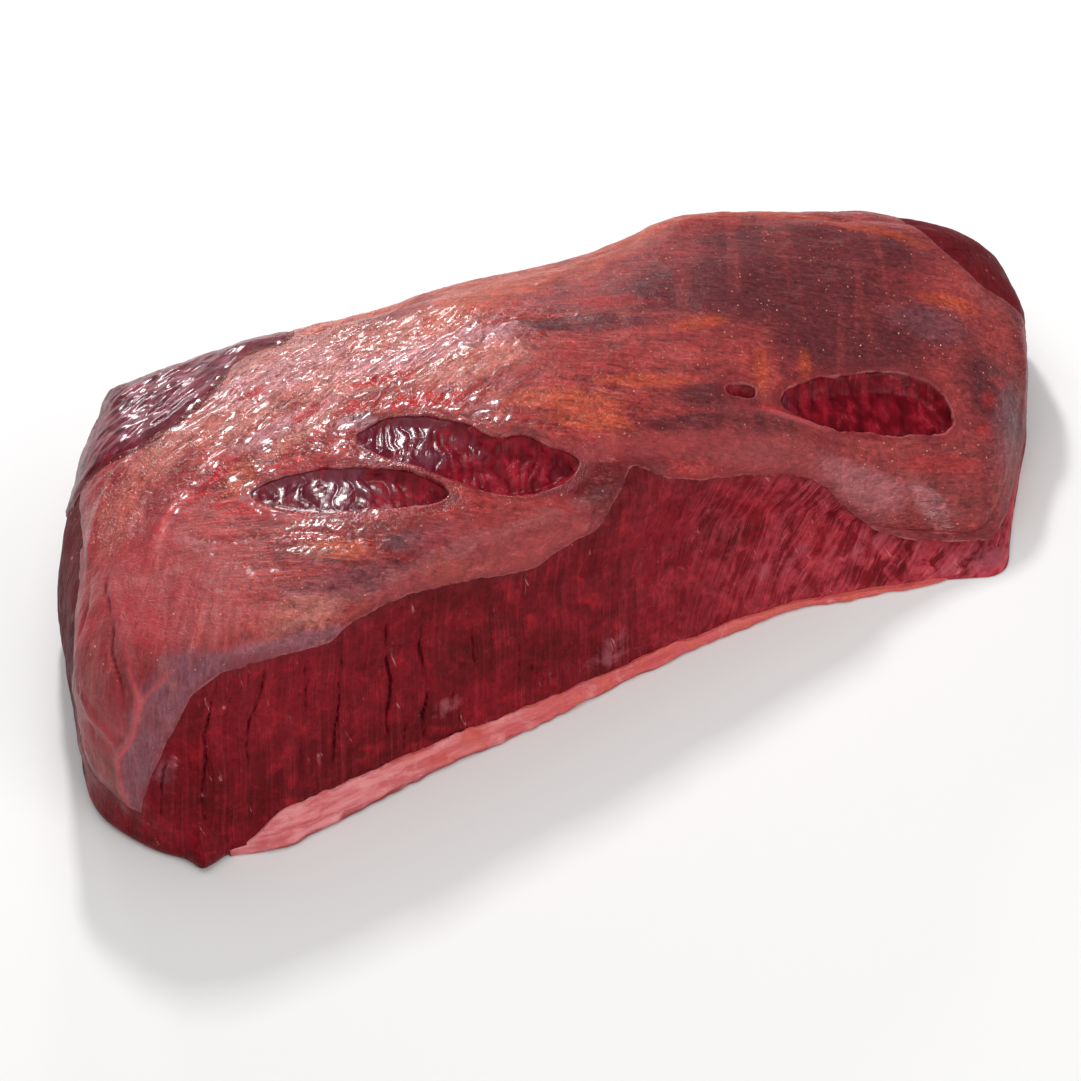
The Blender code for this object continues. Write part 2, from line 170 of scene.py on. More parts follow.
outline = {
    # small unevenness of the outline, place and move in mm
    "nudges": [
        (115, 72, 68, -0.3, 0.5, 0.3), (102, 74, 70, 0.3, 0.6, 0.6), (89, 75, 70, 1, 2.1, 2.3),
        (77, 75, 73, -0.1, -0.3, -0.3), (65, 77, 72, -0.1, -2.3, -2.1), (52, 77, 73, 0.6, -3.7, -3.1),
        (40, 78, 71, 0.6, -3.6, -3), (29, 78, 70, -0.2, -2.4, -2.3), (17, 78, 69, 0.1, -1.8, -1.6),
        (5, 76, 71, -0.2, -0.5, -0.5), (-7, 78, 70, -0.4, -0.9, -1), (-19, 78, 71, 0.1, -0.7, -0.6),
        (-30, 79, 72, -0.7, -1.5, -1.6), (-43, 80, 71, 0.1, -2.8, -2.5), (-54, 82, 70, -0, -2.9, -2.7),
        (-66, 82, 69, 0.3, -2.3, -1.9), (-76, 84, 68, -0.4, -1.9, -1.9), (-86, 83, 66, -0.1, -0.2, -0.2),
        (-98, 84, 64, 0.1, 1.2, 1.2), (-109, 86, 62, 0.3, 0.7, 0.8), (-120, 85, 62, 0.1, 0.2, 0.2),
        (-130, 88, 58, -0.2, 0.6, 0.4), (-140, 90, 56, -0.3, 1.2, 1), (-151, 93, 53, -0.1, 0.6, 0.5),
        (-159, 98, 48, 0.3, -1.1, -0.8), (-168, 95, 41, 4.9, -3.6, -1.2), (-175, 87, 38, 4.3, -3.2, -1.1),
        (-180, 76, 34, 3.5, -2.7, -1), (-191, 47, 49, 1.5, -1, -0.3), (-197, 35, 48, 0.4, -0.2, 0),
        (-200, 28, 40, -1.6, 0.8, -0), (-204, 22, 31, -2.4, 1.1, -0), (-207, 16, 25, -3.2, 2.1, 0.6),
        (-211, 1, 27, -1.3, 0.9, 0.3), (-213, 1, 13, 0.4, -0.2, 0), (-217, -8, 7, 2.2, -1, 0),
        (-221, -21, 6, 3.7, -1.7, 0), (-225, -37, 7, 4.2, -1, 0), (-227, -47, 5, 4.9, -1.4, 0),
        (-229, -63, 3, 4, -0.2, 0), (-226, -76, 2, 1.8, 0.4, 0), (-221, -86, 2, 2.4, 1, 0),
        (166, -84, 3, -1.8, 0.9, 0), (175, -71, 5, -0.7, 0.3, 0), (179, -62, 11, 0.9, -0.4, 0),
        (188, -49, 13, 2.7, -1.2, 0), (193, -39, 19, 3.5, -1.6, 0), (198, -30, 26, 3.9, -1.8, 0),
        (201, -21, 35, 4.9, -2.3, 0), (210, -4, 35, 5.2, -2.4, 0), (216, 11, 36, 3.2, -1.5, 0),
        (218, 20, 41, 0.3, -0.1, 0), (215, 30, 47, -0.2, -0.4, -0.4), (208, 41, 50, 0, 0, 0),
        (198, 45, 56, -1.7, -0.3, -1), (187, 53, 58, -1.6, -1.4, -2), (176, 58, 60, -0.9, -1.9, -2.1),
        (161, 59, 66, -0.8, -1.8, -2), (151, 65, 67, -1.1, -2.4, -2.7), (137, 68, 67, -0.4, -1.9, -1.8),
        (125, 70, 68, -0.2, -0.4, -0.4), (-164, 107, 24, 1.6, -2.1, -1.2), (-173, 107, 10, 3.7, -2.4, 0),
        (157, -97, 2, -2.6, 1.2, 0), (139, -107, 1, 1, 2.2, 0), (124, -104, 1, 0.8, 1.7, 0),
        (79, -90, 1, -0.3, -1.6, 0), (47, -87, 1, 0.4, -0.6, 0), (-60, -99, 1, 0, -1.1, 0),
        (-76, -101, 1, 0.6, -0.8, 0), (-133, -108, 1, 0, -0.7, 0), (-147, -110, 1, 0.4, -0.9, 0),
        (-161, -111, 1, 0.5, -2.3, 0), (-189, -111, 3, 2, 1, 0), (-200, -111, 1, 1, 1.3, 0),
        (-209, -100, 1, 1, 0.6, 0), (-222, -43, 29, 1, -0.2, 0.3),
    ],
    "reach": 13.0,
    # the foot of the cut face is set back: how far, and between which heights it fades
    "setBack": 3.2,
    "setBackFrom": (36.0, 10.0),
}


def withOutline(points):
    spots = points / mm
    total, weight = np.zeros_like(points), np.zeros(len(points))
    for row in outline["nudges"]:
        share = np.exp(-(((spots - np.array(row[:3])) ** 2).sum(1) / outline["reach"] ** 2))
        total += share[:, None] * np.array(row[3:])
        weight += share
    moved = spots + total / np.maximum(weight, 0.8)[:, None]
    share = smoothStep(*outline["setBackFrom"], spots[:, 2]) * smoothStep(-60, -85, spots[:, 1])
    share *= smoothStep(-205, -185, spots[:, 0]) * smoothStep(150, 90, spots[:, 0])
    moved[:, 1] += outline["setBack"] * share
    return moved * mm


def smoothStep(low, high, value):
    share = np.clip((value - low) / (high - low), 0, 1)
    return share * share * (3 - 2 * share)


def shoulderSteps(half, rowsAtEnds, innerSteps):
    # places from -1 to 1, close together round each shoulder
    share = meat["shoulder"] / half
    ends = []
    for rows in rowsAtEnds:
        angle = np.linspace(0, np.pi / 2, rows + 1)[:-1]
        ends.append(share * (1 - np.cos(angle)))
    return np.concatenate([-1 + ends[0], innerSteps, (1 - ends[1])[::-1]])


def innerSpacing(half, spacing):
    # steps between the shoulders, where spacing gives the wanted step in metres at each place
    edge = 1 - meat["shoulder"] / half
    fine = np.linspace(-edge, edge, 4001)
    density = 1 / spacing(fine)
    run = np.concatenate([[0], np.cumsum((density[1:] + density[:-1]) / 2 * np.diff(fine) * half)])
    count = int(round(run[-1]))
    return np.interp(np.linspace(0, run[-1], count + 1), run, fine)


def boxGrid(aSteps, bSteps, cSteps, withFloor=True):
    # the surface of a box as a shared grid: places in -1 to 1, and quads that face outward
    nA, nB, nC = len(aSteps) - 1, len(bSteps) - 1, len(cSteps) - 1
    ids = -np.ones((nA + 1, nB + 1, nC + 1), int)
    outer = np.zeros_like(ids, bool)
    outer[0], outer[-1] = True, True
    outer[:, 0], outer[:, -1] = True, True
    outer[:, :, -1] = True
    if withFloor:
        outer[:, :, 0] = True
    ids[outer] = np.arange(outer.sum())
    where = np.argwhere(outer)
    abc = np.column_stack([aSteps[where[:, 0]], bSteps[where[:, 1]], cSteps[where[:, 2]]])

    def quads(grid, flip):
        corners = [grid[:-1, :-1], grid[1:, :-1], grid[1:, 1:], grid[:-1, 1:]]
        faces = np.stack([corner.ravel() for corner in corners], 1)
        return faces[:, ::-1] if flip else faces

    faces = [
        quads(ids[:, :, -1], False),
        quads(ids[:, 0, :], False),
        quads(ids[:, -1, :], True),
        quads(ids[0], True),
        quads(ids[-1], False),
    ]
    if withFloor:
        faces.append(quads(ids[:, :, 0], True))
    return abc, np.concatenate(faces)


def surfaceNormals(points, faces):
    # area-weighted normals at the corners of triangles or quads
    one, two, three, four = (points[faces[:, i]] for i in (0, 1, 2, faces.shape[1] - 1))
    flat = np.cross(three - one, four - two) if faces.shape[1] == 4 else np.cross(two - one, three - one)
    total = np.zeros_like(points)
    for i in range(faces.shape[1]):
        np.add.at(total, faces[:, i], flat)
    return total / np.maximum(np.linalg.norm(total, axis=1), 1e-12)[:, None]


def makeMesh(name, points, faces, fields=None):
    # a mesh from arrays, with a named attribute for each field
    mesh = bpy.data.meshes.new(name)
    mesh.from_pydata(points.tolist(), [], faces.tolist())
    for label, values in (fields or {}).items():
        kind, key = ("FLOAT_VECTOR", "vector") if values.ndim == 2 else ("FLOAT", "value")
        mesh.attributes.new(label, kind, "POINT").data.foreach_set(key, values.astype(np.float32).ravel())
    mesh.shade_smooth()
    return mesh


def addPiece(name, mesh, material):
    piece = bpy.data.objects.new(name, mesh)
    bpy.context.scene.collection.objects.link(piece)
    mesh.materials.clear()
    mesh.materials.append(material)
    return piece


def smoothLine(points, steps=6, closed=False):
    points = np.asarray(points, float)
    if closed:
        points = np.concatenate([points[-2:], points, points[:3]])
    count = (len(points) - 1) * steps
    line = curveThrough(points, np.linspace(-1, 1, count + 1))
    return line[2 * steps : -2 * steps] if closed else line


def lineDistance(spots, line):
    # distance to a run of straight pieces, and how far along it the nearest place is, from 0 to 1
    best, along = np.full(len(spots), 1e9), np.zeros(len(spots))
    for i, (start, end) in enumerate(zip(line[:-1], line[1:])):
        step = end - start
        share = np.clip((spots - start) @ step / max(step @ step, 1e-9), 0, 1)
        gap = np.linalg.norm(spots - start - share[:, None] * step, axis=1)
        nearer = gap < best
        best[nearer] = gap[nearer]
        along[nearer] = (i + share[nearer]) / (len(line) - 1)
    return best, along


def outlineDistance(spots, outline):
    # distance to a closed outline in the plan, more than 0 inside it
    distance = np.full(len(spots), -60.0)
    low, high = outline.min(0) - 40, outline.max(0) + 40
    near = ((spots > low) & (spots < high)).all(1)
    if not near.any():
        return distance
    some = spots[near]
    gap, _ = lineDistance(some, np.concatenate([outline, outline[:1]]))
    inside = np.zeros(len(some), bool)
    for (x1, y1), (x2, y2) in zip(outline, np.roll(outline, -1, axis=0)):
        crosses = (y1 > some[:, 1]) != (y2 > some[:, 1])
        inside ^= crosses & (some[:, 0] < (x2 - x1) * (some[:, 1] - y1) / ((y2 - y1) or 1e-9) + x1)
    distance[near] = np.where(inside, gap, -gap)
    return distance


# the membrane's lower edge: along the cut face (x, z), the left end (y, z), the back (x, z), the right end (y, z)
edges = {
    "front": [
        (-213, 18), (-207, 32), (-198, 50), (-188, 68), (-175, 74), (-157, 73), (-136, 70), (-121, 74),
        (-101, 74), (-79, 69), (-53, 62), (-37, 65), (-21, 67), (-11, 75), (-1, 80), (11, 73), (35, 63),
        (65, 53), (79, 44), (91, 28), (105, 15), (129, 9), (153, 7),
    ],
    "left": [(-99, 16), (-81, 21), (-69, 26), (-58, 42), (-49, 58), (-23, 63), (7, 64), (47, 60), (117, 56)],
    "back": [(-97, 44), (-67, 36), (-27, 30), (13, 33), (53, 27), (93, 34), (133, 38), (173, 40)],
    "right": [(-113, 7), (-83, 9), (-53, 12), (-23, 18), (7, 26), (37, 34)],
    "leftCorner": [(-81, 137), (-89, 73), (-111, 69), (-135, 44), (-161, 32), (-183, 35), (-247, 41), (-247, 137)],
    "rightCorner": [
        (181, 107), (184, 60), (183, 40), (186, 20), (192, 4), (201, -5), (209, -15), (253, -21), (253, 107),
    ],
    "wobble": (7.0, 0.9, 2.2, 0.45),  # size and height of the slow and the quick wobble of the edge
}

# windows in the membrane: outline in the plan, how deep the muscle lies, and the width of its slope
windows = {
    "left": {
        "outline": [
            (-138, -21), (-126, -19), (-112, -23), (-96, -30), (-82, -40), (-73, -52), (-77, -57), (-90, -56),
            (-106, -51), (-122, -43), (-134, -33),
        ],
        "depth": 3.4, "slope": 5.0,
    },
    "long": {
        "outline": [
            (-94, -14), (-80, -9), (-68, -13), (-60, -19), (-52, -27), (-46, -36), (-36, -39), (-28, -46),
            (-20, -54), (-25, -60), (-36, -63), (-53, -61), (-66, -52), (-79, -39), (-91, -25),
        ],
        "depth": 4.6, "slope": 6.0,
    },
    "right": {
        "outline": [
            (71, -47), (77, -41), (90, -37), (108, -35.5), (123, -36.5), (137, -41), (144, -48), (146, -57),
            (141, -62.5), (130, -61.5), (108, -58), (88, -55.5), (76, -52),
        ],
        "depth": 6.5, "slope": 4.0,
    },
    "small": {
        "outline": [(51, -38), (54, -35.5), (59, -36), (63, -39), (62, -42), (57, -43), (52, -41)],
        "depth": 2.5, "slope": 2.0,
    },
}
for window in windows.values():
    window["curve"] = smoothLine(window["outline"], 5, closed=True)
corners = {name: smoothLine(edges[name], 4) for name in ("leftCorner", "rightCorner")}


def membraneField(points):
    # how far inside the membrane a point is, in mm, and less than 0 where muscle is bare
    x, y, z = (points / mm).T
    plan = np.column_stack([x, y])
    lines = {name: smoothLine(edges[name], 8) for name in ("front", "left", "back", "right")}
    above = {name: z - np.interp(x if name in ("front", "back") else y, *line.T) for name, line in lines.items()}
    field = np.full(len(x), 60.0)
    for name, there in (("front", y < -46), ("left", x < -150), ("back", y > 40), ("right", x > 140)):
        field = np.where(there, np.minimum(field, above[name]), field)
    for outline in corners.values():
        field = np.minimum(field, -outlineDistance(plan, outline))
    for window in windows.values():
        field = np.minimum(field, -outlineDistance(plan, window["curve"]))
    slowSize, slow, quickSize, quick = edges["wobble"]
    wobble = noiseAt(points, slowSize * mm, 3.7) * slow + noiseAt(points, quickSize * mm, 9.1) * quick
    return field + wobble


def cornerField(points):
    # how far inside the wet film of the back left corner a point is, in mm
    x, y, z = (points / mm).T
    inside = outlineDistance(np.column_stack([x, y]), corners["leftCorner"]) + 3
    inside = inside + (noiseAt(points, 22 * mm, 4.4) * 12 - 3) * smoothStep(56, 40, z)
    return np.minimum(inside, z - 17) + noiseAt(points, 8 * mm, 6.1) * 2 + noiseAt(points, 3 * mm, 1.9) * 0.7


def patches(points, blobs):
    # the strongest of a list of soft ellipses in the plan: (x, y, half length, half width, turn)
    x, y, z = (points / mm).T
    total = np.zeros(len(x))
    for blob in blobs:
        centreX, centreY, halfLength, halfWidth, turn = blob[:5]
        turn = math.radians(turn)
        u = ((x - centreX) * math.cos(turn) + (y - centreY) * math.sin(turn)) / halfLength
        v = ((y - centreY) * math.cos(turn) - (x - centreX) * math.sin(turn)) / halfWidth
        w = (z - blob[5]) / blob[6] if len(blob) > 5 else 0
        total = np.maximum(total, np.exp(-0.7 * (u * u + v * v + w * w)))
    return total


class Wire:
    # one output of a node, so that sums on values read as Python
    def __init__(self, maker, socket):
        self.maker, self.socket = maker, socket

    def join(self, operation, *values):
        return self.maker.add("ShaderNodeMath", {"operation": operation}, dict(enumerate(values)))

    def __add__(self, other):
        return self.join("ADD", self, other)

    def __radd__(self, other):
        return self.join("ADD", other, self)

    def __sub__(self, other):
        return self.join("SUBTRACT", self, other)

    def __rsub__(self, other):
        return self.join("SUBTRACT", other, self)

    def __mul__(self, other):
        return self.join("MULTIPLY", self, other)

    def __rmul__(self, other):
        return self.join("MULTIPLY", other, self)

    def __truediv__(self, other):
        return self.join("DIVIDE", self, other)

    def __pow__(self, other):
        return self.join("POWER", self, other)

    def __abs__(self):
        return self.join("ABSOLUTE", self)


class Maker:
    # adds nodes to one tree
    def __init__(self, tree):
        self.tree, self.fields = tree, {}

    def add(self, kind, settings=None, sockets=None, output=0):
        node = self.tree.nodes.new(kind)
        for key, value in (settings or {}).items():
            setattr(node, key, value)
        for key, value in (sockets or {}).items():
            if isinstance(value, Wire):
                self.tree.links.new(value.socket, node.inputs[key])
            else:
                node.inputs[key].default_value = value
        return Wire(self, node.outputs[output])

    def field(self, name):
        # an attribute's value, in a material or in a geometry tree, from one node for each name
        if name not in self.fields:
            if self.tree.type == "SHADER":
                self.fields[name] = self.add("ShaderNodeAttribute", {"attribute_name": name}, output="Fac")
            else:
                settings = {"data_type": "FLOAT"}
                self.fields[name] = self.add("GeometryNodeInputNamedAttribute", settings, {"Name": name})
        return self.fields[name]

    def place(self):
        if self.tree.type == "SHADER":
            return self.add("ShaderNodeTexCoord", output="Object")
        return self.add("GeometryNodeInputPosition")

    def split(self, vector):
        node = self.add("ShaderNodeSeparateXYZ", sockets={0: vector}).socket.node
        return [Wire(self, output) for output in node.outputs]

    def gather(self, x, y, z):
        return self.add("ShaderNodeCombineXYZ", sockets={0: x, 1: y, 2: z})

    def noise(self, vector, scale, detail=2.0, roughness=0.5, distortion=0.0):
        sockets = {"Vector": vector, "Scale": scale, "Detail": detail}
        sockets.update({"Roughness": roughness, "Distortion": distortion})
        return self.add("ShaderNodeTexNoise", sockets=sockets)

    def cells(self, vector, scale):
        return self.add("ShaderNodeTexVoronoi", sockets={"Vector": vector, "Scale": scale})

    def random(self, low, high, seed):
        return self.add("FunctionNodeRandomValue", {"data_type": "FLOAT"}, {2: low, 3: high, "Seed": seed}, 1)

    def ease(self, value, low, high, bottom=0.0, top=1.0):
        sockets = {"Value": value, "From Min": low, "From Max": high, "To Min": bottom, "To Max": top}
        return self.add("ShaderNodeMapRange", {"interpolation_type": "SMOOTHSTEP"}, sockets)

    def blend(self, factor, first, second):
        return self.add("ShaderNodeMix", {"data_type": "RGBA"}, {0: factor, 6: first, 7: second}, 2)

    def tinted(self, colour, *layers):
        # lays colours over one another, each with its mask: (mask, red, green, blue)
        for mask, *tone in layers:
            colour = self.blend(mask, colour, rgb(*tone))
        return colour

    def scaled(self, vector, factor):
        return self.add("ShaderNodeVectorMath", {"operation": "SCALE"}, {0: vector, "Scale": factor})

    def bump(self, height):
        return self.add("ShaderNodeBump", sockets={"Strength": 1.0, "Distance": 1.0, "Height": height})

    def raised(self, geometry, lift):
        # moves a surface out along its normals
        offset = self.scaled(self.add("GeometryNodeInputNormal"), lift)
        return self.add("GeometryNodeSetPosition", sockets={"Geometry": geometry, "Offset": offset})

    def turned(self, x, y, z, degrees, along, across):
        # plan coordinates turned to run with a grain, squeezed along it
        c, s = math.cos(math.radians(degrees)), math.sin(math.radians(degrees))
        return self.gather((x * c + y * s) * along, (y * c - x * s) * across, z * across)


def geometryTree(name, inputs):
    # an empty geometry tree with named inputs; gives its maker, its inputs and the call that closes it
    tree = bpy.data.node_groups.new(name, "GeometryNodeTree")
    tree.interface.new_socket("Geometry", in_out="INPUT", socket_type="NodeSocketGeometry")
    for label in inputs:
        tree.interface.new_socket(label, in_out="INPUT", socket_type="NodeSocketFloat")
    tree.interface.new_socket("Material", in_out="INPUT", socket_type="NodeSocketMaterial")
    tree.interface.new_socket("Geometry", in_out="OUTPUT", socket_type="NodeSocketGeometry")
    maker = Maker(tree)
    entry = tree.nodes.new("NodeGroupInput")
    wires = {socket.name: Wire(maker, socket) for socket in entry.outputs if socket.name}

    def close(geometry):
        real = maker.add("GeometryNodeRealizeInstances", sockets={"Geometry": geometry})
        last = maker.add("GeometryNodeSetMaterial", sockets={"Geometry": real, "Material": wires["Material"]})
        leave = tree.nodes.new("NodeGroupOutput")
        tree.links.new(last.socket, leave.inputs[0])
        return tree

    return maker, wires, close


def runTree(piece, tree, inputs):
    # puts a tree on a piece, keeps what it makes as a plain mesh, and takes the modifier off
    modifier = piece.modifiers.new(tree.name, "NODES")
    modifier.node_group = tree
    for socket in tree.interface.items_tree:
        if socket.in_out == "INPUT" and socket.name in inputs:
            modifier[socket.identifier] = inputs[socket.name]
    bpy.context.view_layer.update()
    evaluated = piece.evaluated_get(bpy.context.evaluated_depsgraph_get())
    made = bpy.data.meshes.new_from_object(evaluated)
    piece.modifiers.remove(modifier)
    return made


def swapMesh(piece, mesh):
    old = piece.data
    piece.data = mesh
    bpy.data.meshes.remove(old)


def newMaterial(name, specular=0.5, subsurface=0.0, radius=(0.004, 0.0015, 0.001), coatRoughness=0.12):
    # the coat is the film of juice, smoother than the flesh below it
    material = bpy.data.materials.new(name)
    material.use_nodes = True
    shader = material.node_tree.nodes["Principled BSDF"]
    shader.inputs["Metallic"].default_value = 0.0
    shader.inputs["IOR"].default_value = 1.45
    shader.inputs["Specular IOR Level"].default_value = specular
    shader.inputs["Subsurface Weight"].default_value = subsurface
    shader.inputs["Subsurface Radius"].default_value = radius
    shader.inputs["Subsurface Scale"].default_value = 1.0
    shader.inputs["Coat Roughness"].default_value = coatRoughness
    return material, Maker(material.node_tree), shader


def plug(maker, shader, **wires):
    for name, wire in wires.items():
        maker.tree.links.new(wire.socket, shader.inputs[name.replace("_", " ")])


lean = {
    "stepFine": 1.02 * mm,
    "stepCoarse": 1.55 * mm,
    "rowsUp": 34,
    "pitExtra": 3.0,
    # cracks down the cut face: places (x, z) from the top down, and strength
    "cracks": [
        ([(-178, 72), (-183, 60), (-187, 44), (-192, 28), (-194, 15)], 0.8),
        ([(-172, 71), (-175, 62), (-180, 44)], 0.5),
        ([(-160, 69), (-163, 61), (-170, 48), (-174, 34)], 0.8),
        ([(-146, 68), (-146, 52), (-149, 42)], 0.6),
        ([(-130, 72), (-132, 56), (-134, 44), (-138, 34), (-142, 20)], 1.0),
        ([(-112, 68), (-113, 52), (-114, 40), (-118, 30), (-119, 20)], 1.0),
        ([(-97, 66), (-100, 44), (-101, 30), (-104, 22), (-105, 14)], 1.0),
        ([(-78, 56), (-78, 42), (-81, 28)], 0.55),
        ([(-60, 36), (-63, 18)], 0.6),
        ([(-55, 32), (-58, 16)], 0.5),
        ([(-88, 32), (-95, 14)], 0.5),
        ([(-110, 26), (-114, 12)], 0.6),
        ([(-199, 46), (-204, 32), (-208, 16)], 0.8),
        ([(-152, 36), (-156, 18)], 0.4),
        ([(-28, 44), (-22, 24)], 0.35),
    ],
    "crackWidth": 0.5,
    "crackDepth": 1.2,
    "nub": ((-196, -109, 4), 5.0, 6.0),  # place, reach and height
    # the grain slants more and more to the right: places along the length, and its offsets there
    "slant": ([-20, 20, 60, 100, 150, 230], [0, 70, 120, 150, 168, 180]),
    # silvery film, partly pale tissue and partly painted sheen: (x, y, half length, half width, turn, z, half
    # height)
    "film": [
        (-214, -84, 8, 9, 0, 24, 14), (-205, -95, 9, 8, 0, 38, 14), (60, -84, 30, 8, 0, 22, 9),
        (20, -86, 14, 8, 0, 44, 14), (95, -88, 26, 12, 0, 18, 8), (-95, -100, 12, 8, 0, 24, 6),
        (140, -104, 30, 12, 0, 6, 5), (-20, -94, 18, 8, 0, 16, 8), (-30, -88, 14, 7, 0, 50, 8),
    ],
    "relief": {"Fibre Height": 0.0008, "Knot Height": 0.0014, "Seed": 1.0},
}


def windowDepth(plan, extra=0.0, spread=0.0):
    depth = np.zeros(len(plan))
    for window in windows.values():
        inside = outlineDistance(plan, window["curve"])
        depth = np.maximum(depth, (window["depth"] + extra) * smoothStep(-spread, window["slope"] - spread, inside))
    return depth


def leanGrid():
    def spacing(place):
        fine = smoothStep(0.0, 0.15, place)
        return lean["stepFine"] * (1 - fine) + lean["stepCoarse"] * fine

    aSteps = shoulderSteps(meat["halfLength"], (26, 22), innerSpacing(meat["halfLength"], spacing))
    coarse = innerSpacing(meat["halfWidth"], lambda place: (6 - 3.8 * smoothStep(0.15, -0.15, place)) * mm)
    bSteps = shoulderSteps(meat["halfWidth"], (30, 14), coarse)
    return boxGrid(aSteps, bSteps, np.linspace(-1, 1, lean["rowsUp"]))


def makeLean():
    abc, quads = leanGrid()
    points = meatPoints(abc)
    normals = surfaceNormals(points, quads)
    points = withSwells(points, normals)
    bare = membraneField(points)
    normals = surfaceNormals(points, quads)
    plan = points[:, :2] / mm
    front = (abc[:, 1] < -0.45) & (normals[:, 1] < -0.15)
    spots = points[:, [0, 2]] / mm
    crack = np.zeros(len(points))
    for number, (places, strength) in enumerate(lean["cracks"]):
        line = smoothLine(places, 5)
        level = np.column_stack([spots[:, 1] * mm, spots[:, 1] * 0, spots[:, 1] * 0])
        wander = noiseAt(level, 9 * mm, number * 3.3) * 0.8 + noiseAt(level, 3 * mm, number * 1.7) * 0.35
        gap, along = lineDistance(spots + np.column_stack([wander, wander * 0]), line)
        taper = np.sqrt(np.clip(4 * along * (1 - along) + 0.1, 0, 1))
        taper = taper * np.clip(0.85 + noiseAt(level, 5 * mm, number * 2.1) * 0.5, 0.35, 1)
        crack = np.maximum(crack, strength * taper * np.exp(-((gap / lean["crackWidth"]) ** 2)))
    crack *= front
    crack *= smoothStep(1.5, -1.0, bare)
    points = points - normals * (crack * lean["crackDepth"] * mm)[:, None]
    top = abc[:, 2] > 0.999
    points[:, 2] -= np.where(top, windowDepth(plan, lean["pitExtra"], 7.0), 0) * mm
    # under the membrane and the corner film the flesh stays a little lower
    sink = np.maximum(smoothStep(1.0, 5.0, bare) * 0.6, smoothStep(1.0, 5.0, cornerField(points)) * 0.8)
    points -= normals * (sink * mm)[:, None]
    centre, reach, height = lean["nub"]
    gap = np.linalg.norm(points / mm - np.array(centre), axis=1)
    points += normals * (np.exp(-((gap / reach) ** 2)) * height * mm)[:, None]
    points = withOutline(points)
    points[:, 2] = np.maximum(points[:, 2], 0.4 * mm)
    sweep = points[:, 2] / mm - np.interp(points[:, 0] / mm, *lean["slant"])
    fields = {"crack": crack, "bare": bare, "sweep": sweep, "film": patches(points, lean["film"])}
    return makeMesh("leanMuscleBase", points, quads, fields)


def leanReliefTree():
    maker, wires, close = geometryTree("leanRelief", ("Fibre Height", "Knot Height", "Seed"))
    x, y, z = maker.split(maker.place())
    sweep = maker.field("sweep") * mm
    slant = maker.ease(x, -0.02, 0.05)
    upright = maker.noise(maker.gather((x - z * 0.2) * 1000, z * 40 + wires["Seed"], 0.0), 0.36, 3.0, 0.6)
    slanted = maker.noise(maker.gather(sweep * 1000, x * 90 + wires["Seed"], 0.0), 0.34, 3.0, 0.6)
    fibre = (upright * (1 - slant) + slanted * slant - 0.5) * wires["Fibre Height"]
    knot = (maker.noise(maker.place(), 90.0, 2.0, 0.5, 0.6) - 0.5) * wires["Knot Height"]
    calm = maker.ease(z, 0.001, 0.006)
    return close(maker.raised(wires["Geometry"], (fibre + knot) * calm))


